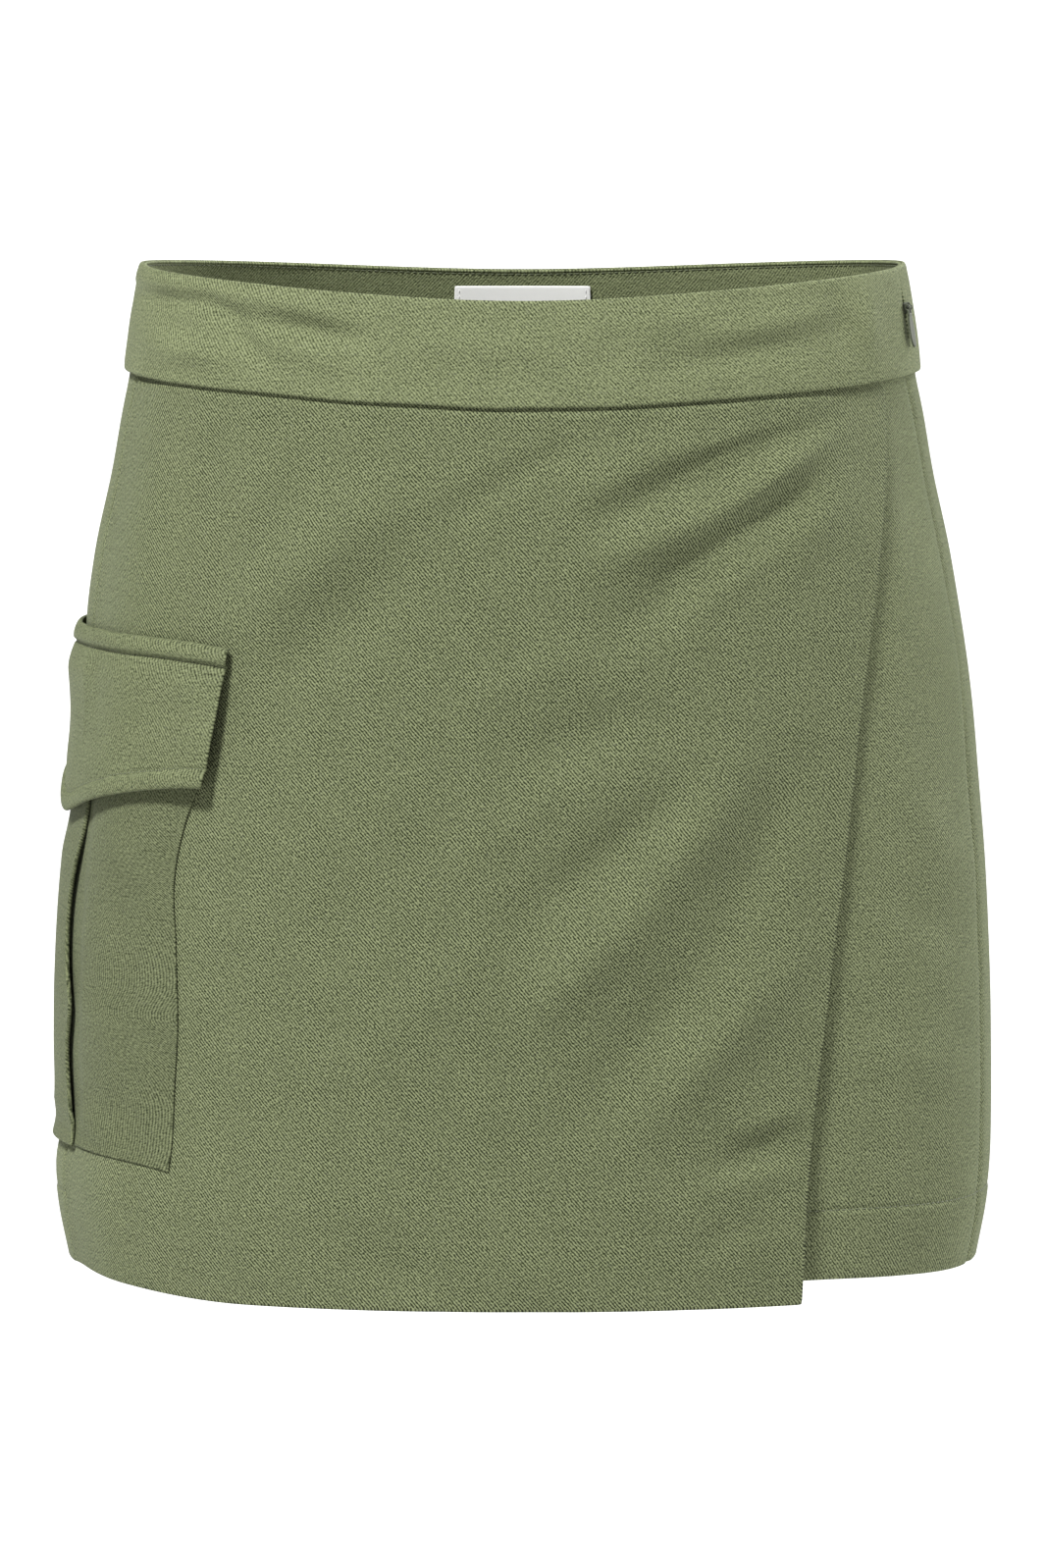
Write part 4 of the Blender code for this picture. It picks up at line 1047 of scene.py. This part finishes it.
def pleat_rows(down):
    """The pocket's cloth cut across at each drop, as its middle line: in from the front edge, back
    out under the strip and over it, and the same again behind. Half circles join the levels. The
    strip's edges gape by up to 1.7 mm between the flap and the bottom. Returns along and height."""
    gape = 1.7 * MM * ease((down - 212 * MM) / (22 * MM)) * ease((335 * MM - down) / (12 * MM))
    low = np.full_like(down, POCKET_CLEAR + POCKET_WALL / 2)
    pitch = POCKET_WALL + 0.2 * MM
    closed = low + pitch
    raised = closed + gape
    arc = np.linspace(-math.pi / 2, math.pi / 2, 9)
    over_field = np.linspace(0, 1, 56)
    top_low, top_pitch = PLEAT_TOP - POCKET_WALL * 1.5 - 0.1 * MM, POCKET_WALL + 0.1 * MM
    raised = np.minimum(raised, top_low)
    bend = top_pitch / 2
    out = np.linspace(0, 1, 12)
    one = np.ones_like(down)
    along = [one * (POCKET_HALF - POCKET_WALL / 2 + (PLEAT_INNER - POCKET_HALF) * over_field)]
    tall = [low * np.ones_like(over_field)]
    along.append(one * (PLEAT_INNER - pitch / 2 * np.cos(arc)))
    tall.append(low + pitch / 2 + pitch / 2 * np.sin(arc))
    reach = PLEAT_HALF - 1.2 * MM
    along.append(one * (PLEAT_INNER + 0.6 * MM + (reach - PLEAT_INNER - 0.6 * MM) * out))
    tall.append(closed + (raised - closed) * ease(out))
    along.append(one * (reach + bend * np.cos(arc)))
    tall.append(raised + bend + bend * np.sin(arc))
    along.append(one * (reach * (1 - out)))
    tall.append((raised + top_pitch) * np.ones_like(out))
    return np.concatenate(along, axis=1), np.concatenate(tall, axis=1)


rows = spaced(1.0, 0.014, 0.006)[:, None]
down = POCKET_TOP + rows * (POCKET_BOTTOM - POCKET_TOP - POCKET_WALL / 2)
half_along, half_tall = pleat_rows(down)
along = np.concatenate([half_along[:, :-1], -half_along[:, ::-1]], axis=1)[:, ::-1]
height = np.concatenate([half_tall[:, :-1], half_tall[:, ::-1]], axis=1)[:, ::-1]
in_field = np.abs(along) > PLEAT_HALF + 1 * MM
on_strip = height > POCKET_CLEAR + POCKET_WALL * 1.2
corner_drop = 3.4 * MM * (along / POCKET_HALF) ** 4 * ease((down - 300 * MM) / (40 * MM))
edge_room = np.minimum(POCKET_HALF - np.abs(along), POCKET_BOTTOM - down) / MM
puff = 1.2 * MM * ease(edge_room / 15.0) * ease((np.abs(along) / MM - 20.0) / 10.0)
creased = folds(POCKET_CREASES, along, down) * ease(edge_room / 10.0) * in_field
creased = creased + 0.25 * MM * ripple(along, down, 0.03, 5) * in_field * ease(edge_room / 8.0)
height = height + puff + np.maximum(creased, -0.6 * puff)
outer = np.clip((np.abs(along) - PLEAT_HALF) / (POCKET_HALF - PLEAT_HALF), 0, 1) ** 2
further = smooth_through(down, FRONT_EDGE[:, 0], FRONT_EDGE[:, 1]) * outer
fold_share = on_strip * ease((np.abs(along) - 6 * MM) / (8 * MM)) * (np.abs(along) < 17 * MM)
further = further + smooth_through(down, PLEAT_EDGE[:, 0], PLEAT_EDGE[:, 1]) * fold_share
along = along + np.sign(along) * further
middle = pocket_point(along, down + corner_drop, height)
normal = grid_normals(middle)
pocket_flat = on_cloth(along_rows(middle), down)
pocket_face = middle + normal * POCKET_WALL / 2
pocket = cloth("pocket_cloth", pocket_face, POCKET_WALL, pocket_flat, POCKET_TWILL)
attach(pocket, "skort")
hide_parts("pocket_bag")


# ------------------------------------------------------------------ pocket flap
# Two layers of twill turned out to a low point. A tuck is stitched in along the top, where the
# flap is sewn down, and another along the lower edge, so that both stand up as soft rolls.

FLAP_TOP = 138.8 * MM
FLAP_TOP_DROP = 3.2 * MM
FLAP_SIDE = 196.4 * MM
FLAP_POINT = 16 * MM
FLAP_POINT_HALF = 85 * MM
FLAP_POINT_ROUND = 6 * MM
FLAP_TOP_HALF = 98.5 * MM
FLAP_LOW_HALF = 92.5 * MM
FLAP_ROLL = 7.1 * MM
FLAP_WALL = 1.3 * MM
FLAP_TWILL = twill("flap_twill", ribs=0.50, mottle=0.70, shade=1.0)


def flap_height(along, down):
    """The flap's outer face over the panels: at the panels along the top, rising over the pocket's
    edge, and bowed out over the pleat lower down."""
    field_top = 0.8 * MM + 1.0 * MM
    over_pleat = 1 - ease((np.abs(along) - PLEAT_HALF - 1 * MM) / (16 * MM))
    rested = field_top + (PLEAT_TOP - field_top) * over_pleat + 1.0 * MM
    fallen = ease((down - FLAP_TOP) / (FLAP_SIDE - FLAP_TOP))
    landing = ease((down - FLAP_TOP) / (POCKET_TOP - FLAP_TOP - 2 * MM))
    bowed = np.maximum(rested, PLEAT_TOP + 0.9 * MM * fallen)
    inner = rested + (bowed - rested) * fallen
    return 0.8 * MM + (inner - 0.8 * MM) * landing + CLOTH


def roll(room, width, tall):
    """Half an ellipse across, from an edge inwards: the section of a padded roll."""
    return tall * np.sqrt(np.clip(1 - (2 * room / width - 1) ** 2, 0, 1))


across = np.linspace(-1, 1, 132)
rows = spaced(1.0, 0.013, 0.02)[:, None]
along = across * (FLAP_TOP_HALF - FLAP_WALL / 2 + (FLAP_LOW_HALF - FLAP_TOP_HALF) * rows)
from_middle = np.hypot(along, FLAP_POINT_ROUND) - FLAP_POINT_ROUND
low = FLAP_SIDE + FLAP_POINT * np.clip(1 - from_middle / FLAP_POINT_HALF, 0, 1) ** 1.6
low = low - FLAP_WALL / 2
top = FLAP_TOP + FLAP_TOP_DROP * across**4 + FLAP_WALL / 2
down = top + rows * (low - top)
from_top, from_low = down - top, low - down
padded = roll(from_top, FLAP_ROLL, 1.7 * MM) + roll(from_low, FLAP_ROLL, 1.2 * MM)
drawn = furrow(from_top - FLAP_ROLL - 0.3 * MM, 0.7 * MM, 1.0 * MM)
drawn = drawn + furrow(from_low - FLAP_ROLL - 0.3 * MM, 0.7 * MM, 0.5 * MM)
swell = ease((from_top - FLAP_ROLL) / (14 * MM)) * ease((from_low - FLAP_ROLL) / (14 * MM))
height = flap_height(along, down) + padded + drawn + 0.9 * MM * swell
uneven = 0.35 * MM * ripple(along, down, 0.032, 33)
height = height + uneven * ease((from_top - FLAP_ROLL) / (9 * MM))
at_end = ease((np.abs(along) - 58 * MM) / (30 * MM))
height = height + 1.0 * MM * at_end * ease(from_top / (40 * MM))
flap_points = pocket_point(along, down, height)
flap_flat = on_cloth(along_rows(flap_points), down)
flap = cloth("pocket_flap_cloth", flap_points, FLAP_WALL, flap_flat, FLAP_TWILL)
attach(flap, "skort")
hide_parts("pocket_flap")

normal = grid_normals(flap_points)
for name, from_edge in (("top", from_top), ("low", from_low)):
    row = np.argmin(np.abs(from_edge - FLAP_ROLL - 0.3 * MM), axis=0)
    pick = np.arange(len(row))
    seam_points = flap_points[row, pick] + normal[row, pick] * 0.02 * MM
    stitches = sewn(
        "flap_stitches_" + name,
        seam_points,
        normal[row, pick],
        2.2 * MM,
        1.6 * MM,
        0.36 * MM,
        GREEN_THREAD,
    )
    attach(stitches, "skort")


# ------------------------------------------------------------------ zip tape and coil
# Two woven ribbons behind the left side seam, sewn to the seam's allowances. Each carries a
# nylon coil on its inner edge, and the coils are locked together below the slider.

ZIP_TOP = 4 * MM
ZIP_LENGTH = 165 * MM
ZIP_TAPE_HALF = 12 * MM
ZIP_TAPE_WALL = 0.8 * MM
ZIP_CLEAR = 0.8 * MM
COIL_PITCH = 1.2 * MM
COIL_RADIUS = 0.75 * MM
COIL_WIRE = 0.24 * MM


def ribbon(name):
    """Zip ribbon: a fine herringbone across, from the sum and the difference of two waves."""
    material, shader, wire = new_paint(name, 0.72, sheen_weight=0.2)
    across, down = cloth_mm(wire)
    zigzag = (across * 0.5).math("PINGPONG", 0.8)
    rows = ((down + zigzag * 1.2) * (2 * math.pi / 0.6)).math("SINE")
    tone = 0.5 + rows * 0.4
    dark, light = (0.040, 0.048, 0.024, 1), (0.150, 0.170, 0.095, 1)
    plug(shader, "Base Color", blend_colours(tone.between(0.0, 1.0), dark, light))
    bump = wire.node("Bump", {}, {"Strength": 0.5, "Distance": 0.0002, "Height": tone})
    plug(shader, "Normal", bump)
    return material


def tape_lift(down):
    """Behind the facing at the top, and behind the panels lower down, on a smooth step."""
    behind_band = 1 - ease((down - BAND_HEIGHT + 8 * MM) / (8 * MM))
    upper = FACING_OUT - CLOTH - ZIP_CLEAR
    lower = -2 * CLOTH - ZIP_CLEAR
    return lower + (upper - lower) * behind_band


def coil_gap(down):
    """Half the way between the two ribbons: closed below the slider, and apart above it."""
    return 0.35 * MM + 1.2 * MM * (1 - ease((down - SLIDER_DOWN) / (7 * MM)))


def turned_solid(rings, start):
    """Closed faces through rings of points, with their ends filled, numbered from start on."""
    count, around = rings.shape[:2]
    index = start + np.arange(count * around).reshape(count, around)
    following = np.roll(index, -1, axis=1)
    sides = np.stack([index[:-1], following[:-1], following[1:], index[1:]], axis=-1)
    return sides.reshape(-1, 4).tolist() + [index[0, ::-1].tolist(), index[-1].tolist()]


RIBBON = ribbon("zip_ribbon")
NYLON, nylon_shader, _ = new_paint("green_nylon", 0.38, specular_ior_level=0.5)
nylon_shader.inputs["Base Color"].default_value = (0.075, 0.088, 0.048, 1)
for name, sign in (("front", -1), ("back", 1)):
    down = ZIP_TOP + spaced(ZIP_LENGTH, 1.5 * MM)[:, None]
    reach = np.linspace(0, 1, 14)
    along = coil_gap(down) + reach * (ZIP_TAPE_HALF - coil_gap(down))
    turn = SIDE_SEAM + sign * along / ring_sizes(down)[1]
    if sign < 0:
        turn = turn[:, ::-1]
    tape_points = body_point(turn, down, tape_lift(down) - 0.15 * MM)
    flat = on_cloth(turn * 0.18, down)
    tape = cloth("zip_tape_" + name, tape_points, ZIP_TAPE_WALL - 0.2 * MM, flat, RIBBON)
    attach(tape, "skort")
    # A helix about a line along the ribbon's edge, as a tube of five sides.
    turns_of_coil = ZIP_LENGTH * 0.97 / COIL_PITCH
    wound = np.linspace(0, turns_of_coil, int(turns_of_coil * 9))
    coil_down = ZIP_TOP + 2 * MM + wound * COIL_PITCH
    angle = 2 * math.pi * wound + (0 if sign > 0 else math.pi)
    beside = sign * (coil_gap(coil_down) + 0.25 * MM + COIL_RADIUS * 0.9 * np.cos(angle))
    raised = tape_lift(coil_down) - ZIP_TAPE_WALL - COIL_RADIUS * (0.7 - 0.6 * np.sin(angle))
    line = body_point(SIDE_SEAM + beside / ring_sizes(coil_down)[1], coil_down, raised)
    ahead = unit(np.gradient(line, axis=0))
    level = unit(np.cross(ahead, np.array([0.0, 0.0, 1.0])))
    upright = np.cross(level, ahead)
    round_wire = np.arange(5) * 2 * math.pi / 5
    ring = np.cos(round_wire)[None, :, None] * level[:, None]
    ring = ring + np.sin(round_wire)[None, :, None] * upright[:, None]
    points = line[:, None] + COIL_WIRE * ring
    faces = turned_solid(points, 0)
    coil = mesh_piece("zip_coil_" + name, points.reshape(-1, 3), faces, None, NYLON)
    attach(coil, "skort")
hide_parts("zip_tape")


# ------------------------------------------------------------------ zip slider
# Die-cast metal in dark enamel: a tapered body on the coils, a bridge through the seam to the
# outside and a pin that carries the pull.

PIN_LIFT = 3.75 * MM
PIN_RADIUS = 0.35 * MM
BRIDGE_WIDTH = 1.2 * MM


def side_frame(down):
    """Axes on the body at the zip: x out of the cloth, y level towards the back, z up the zip."""
    reach = 8 * MM
    above = Vector(body_point(SIDE_SEAM, max(down - reach, 0)))
    upward = (above - Vector(body_point(SIDE_SEAM, down + reach))).normalized()
    level = Vector(body_point(SIDE_SEAM, down, 1.0) - body_point(SIDE_SEAM, down, 0.0))
    along = Vector((-level.y, level.x, 0)).normalized()
    out = along.cross(upward).normalized()
    axes = Matrix((out, along, out.cross(along))).transposed().to_4x4()
    axes.translation = Vector(body_point(SIDE_SEAM, down))
    return np.array(axes)


def placed(axes, points):
    return points @ axes[:3, :3].T + axes[:3, 3]


def squircle(half_x, half_y, count, power=4.0):
    """A rounded rectangle: a super-ellipse of power 4, as points round the origin."""
    turns = np.arange(count) * 2 * math.pi / count
    x, y = np.cos(turns), np.sin(turns)
    reach = (np.abs(x) ** power + np.abs(y) ** power) ** (-1 / power)
    return np.stack([half_x * reach * x, half_y * reach * y], axis=-1)


def stacked(rise, half_x, half_y, count, power=4.0):
    """Rings of points: rounded rectangles one above another, with these half sizes at each rise."""
    rise, half_x, half_y = (v[:, None] for v in np.broadcast_arrays(rise, half_x, half_y))
    level = squircle(half_x, half_y, count, power)
    return np.concatenate([level, np.broadcast_to(rise[..., None], (len(rise), count, 1))], axis=-1)


def joined_solids(name, solids, axes, paint):
    """One mesh of several closed shells, moved from the zip's axes to where it is."""
    points, faces = [], []
    for rings in solids:
        faces += turned_solid(rings, sum(len(part) for part in points))
        points.append(rings.reshape(-1, 3))
    return mesh_piece(name, placed(axes, np.concatenate(points)), faces, None, paint)


def metal(name, colour, roughness, metallic):
    """Enamelled metal: small scratches and pits in the gloss."""
    material, shader, wire = new_paint(name, roughness, metallic=metallic, coat_weight=0.1)
    place = wire.node("TexCoord", {}, {}, output=3)
    pits = wire.node("TexNoise", {}, {"Vector": place, "Scale": 2400.0, "Detail": 3.0})
    rubbed = pits.between(0.60, 0.80) * 0.2
    paler = tuple(min(1.0, 2.2 * c) for c in colour[:3]) + (1,)
    plug(shader, "Base Color", blend_colours(rubbed, colour, paler))
    plug(shader, "Roughness", roughness + pits * 0.2)
    bump = wire.node("Bump", {}, {"Strength": 0.2, "Distance": 0.00005, "Height": pits})
    plug(shader, "Normal", bump)
    return material


DARK_METAL = metal("dark_zip_metal", (0.030, 0.034, 0.022, 1), 0.38, 0.6)
zip_axes = side_frame(SLIDER_DOWN)
inside = FACING_OUT - CLOTH - ZIP_CLEAR - ZIP_TAPE_WALL - SEAM - 0.2 * MM
# The body: rounded rectangles stacked up the zip, wide at the top, where the coils part.
rise = np.linspace(-4.5, 4.5, 15) * MM
half_width = 2.2 * MM + 0.6 * MM * ease((rise + 4.5 * MM) / (9 * MM))
blunt = np.sqrt(np.clip(1 - (np.abs(rise) / (4.5 * MM)) ** 6, 0.12, 1))
body = stacked(rise, 0.7 * MM * blunt, half_width * blunt, 20) + [inside - 0.7 * MM, 0, 0]
# The bridge: rounded rectangles from inside the body out to just past the pin.
out = np.linspace(inside - 0.7 * MM, PIN_LIFT + PIN_RADIUS + 0.3 * MM, 12)
shrink = np.sqrt(np.clip(1 - ((out - out[0]) / (out[-1] - out[0])) ** 10, 0.1, 1))
bridge_height = 2.2 * MM * (0.8 + 0.2 * shrink)
bridge = np.roll(stacked(out, BRIDGE_WIDTH / 2 * shrink, bridge_height, 16), 1, axis=-1)
pin_half = BRIDGE_WIDTH / 2 + SEAM + 0.9 * MM
along_pin = np.linspace(-pin_half, pin_half, 11)
pin_width = PIN_RADIUS * np.sqrt(np.clip(1 - (along_pin / pin_half) ** 8, 0.15, 1))
pin = stacked(along_pin, pin_width, pin_width, 12, 2.0)[..., [0, 2, 1]] * [1, 1, -1]
pin = pin + [PIN_LIFT, 0, 0]
slider = joined_solids("zip_slider_metal", [body, bridge, pin], zip_axes, DARK_METAL)
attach(slider, "skort")
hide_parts("zip_slider")


# ------------------------------------------------------------------ zip pull
# A drop-shaped tab in green enamel with a dished face, its green painted darker as painted shade.
# Two arms with eyes hang it on the pin.

PULL_LENGTH = 15.5 * MM
PULL_WIDTH = 6.0 * MM
PULL_HALF_WALL = 0.5 * MM
PULL_EYE = 1.2 * MM
PULL_ARM = 0.9 * MM
# Painted shade: the enamel's own green, painted darker for the shade the pull hangs in.
SHADED_GREEN_METAL = metal("green_zip_enamel_painted_shade", (0.034, 0.041, 0.020, 1), 0.42, 0.15)
pull_axes = zip_axes.copy()
pull_axes[:3, 3] += zip_axes[:3, 0] * PIN_LIFT
# The plate: rounded rectangles down the drop. Its half width follows a sine that is stretched
# towards the tip, and never falls below the arms' own at the top.
arm_out = BRIDGE_WIDTH / 2 + SEAM + PULL_ARM
fall = np.concatenate([np.linspace(2.2, 14.6, 30), np.linspace(14.6, 15.45, 8)[1:]]) * MM
share = fall / PULL_LENGTH
half = PULL_WIDTH / 2 * np.sin(np.arccos(1 - 2 * share)) * (0.62 + 0.52 * share)
half = np.maximum(half, arm_out * (share < 0.3))
half = np.convolve(np.pad(half, 2, mode="edge"), np.ones(5) / 5, mode="valid")
thin = np.minimum(1.0, np.sqrt(np.clip((PULL_LENGTH - fall) / (0.7 * MM), 0.02, 1)))
plate_half = np.maximum(half, 0.3 * MM)
plate = stacked(-fall, PULL_HALF_WALL * thin, plate_half, 24, 3.0)[::-1]
pull_solids = [plate]
for sign in (-1, 1):
    # The arm: from the plate up to the eye.
    arm = stacked(np.linspace(-3.4, -0.9, 6) * MM, PULL_HALF_WALL, PULL_ARM / 2, 12, 3.0)
    pull_solids.append(arm + [0, sign * (arm_out - PULL_ARM / 2), 0])
arms_and_plate = joined_solids("zip_pull_enamel", pull_solids, pull_axes, SHADED_GREEN_METAL)
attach(arms_and_plate, "zip_pull")
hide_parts("zip_pull")
# The eyes: a rounded rectangle carried round the pin, one on each arm.
go_round = np.arange(24) * 2 * math.pi / 24
eye_middle, eye_half = (PULL_EYE + 0.6 * MM) / 2, (PULL_EYE - 0.6 * MM) / 2
for name, sign in (("front", -1), ("back", 1)):
    section = squircle(eye_half, PULL_ARM / 2, 10, 3.0)
    reach = eye_middle + section[:, 0]
    beside = section[:, 1] + sign * (arm_out - PULL_ARM / 2)
    out, rise = np.cos(go_round)[:, None] * reach, np.sin(go_round)[:, None] * reach
    points = np.stack(np.broadcast_arrays(out, beside, rise), axis=-1)
    index = np.arange(240).reshape(24, 10)
    onward = np.roll(index, -1, axis=0)
    faces = np.stack(
        [index, np.roll(index, -1, axis=1), np.roll(onward, -1, axis=1), onward], axis=-1
    )
    points = placed(pull_axes, points.reshape(-1, 3))
    eye = mesh_piece("zip_pull_eye_" + name, points, faces.reshape(-1, 4), None, SHADED_GREEN_METAL)
    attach(eye, "zip_pull")


# ------------------------------------------------------------------ floor and light
# A plain pale floor lies well below the hem. The main light stands high on the left in front.
# Weaker ones stand low on the right and behind, and a pale strip runs round the horizon.

FLOOR_REACH = 120.0
FLOOR_LOW = -0.95
corners = [(-1, -1), (1, -1), (1, 1), (-1, 1)]
floor_mesh = bpy.data.meshes.new("floor")
floor_mesh.from_pydata(
    [(x * FLOOR_REACH, y * FLOOR_REACH, FLOOR_LOW) for x, y in corners], [], [(0, 1, 2, 3)]
)
floor = add_object("floor", floor_mesh)
floor_paint, floor_shader, _ = new_paint("white_floor", 0.9)
floor_shader.inputs["Base Color"].default_value = (0.57, 0.57, 0.57, 1)
floor_mesh.materials.append(floor_paint)
floor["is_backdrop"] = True

studio = bpy.data.worlds.new("studio")
studio.use_nodes = True
upward = Wire(studio.node_tree).node("TexCoord", {}, {}).parts()[2]
strip = 1 - upward.between(0.10, 0.24)
background = studio.node_tree.nodes["Background"]
background.inputs["Color"].default_value = (1.0, 1.0, 1.0, 1)
studio.node_tree.links.new((strip * 0.95 + 0.10).socket, background.inputs["Strength"])
bpy.context.scene.world = studio


def broad_light(name, strength, spread, towards):
    """A sun of wide angle: soft shadows, and the same light over the whole floor."""
    lamp = bpy.data.lights.new(name, "SUN")
    lamp.energy = strength
    lamp.angle = math.radians(spread)
    thing = add_object(name, lamp)
    thing.rotation_euler = Vector(towards).to_track_quat("-Z", "Y").to_euler()


broad_light("key", 6.6, 12, (0.335, 0.520, -0.786))
broad_light("side", 3.0, 40, (-0.963, -0.170, -0.208))
broad_light("back", 2.6, 30, (-0.527, -0.627, -0.574))

bpy.context.scene.view_settings.view_transform = "Standard"
bpy.context.scene.view_settings.look = "None"

low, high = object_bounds()
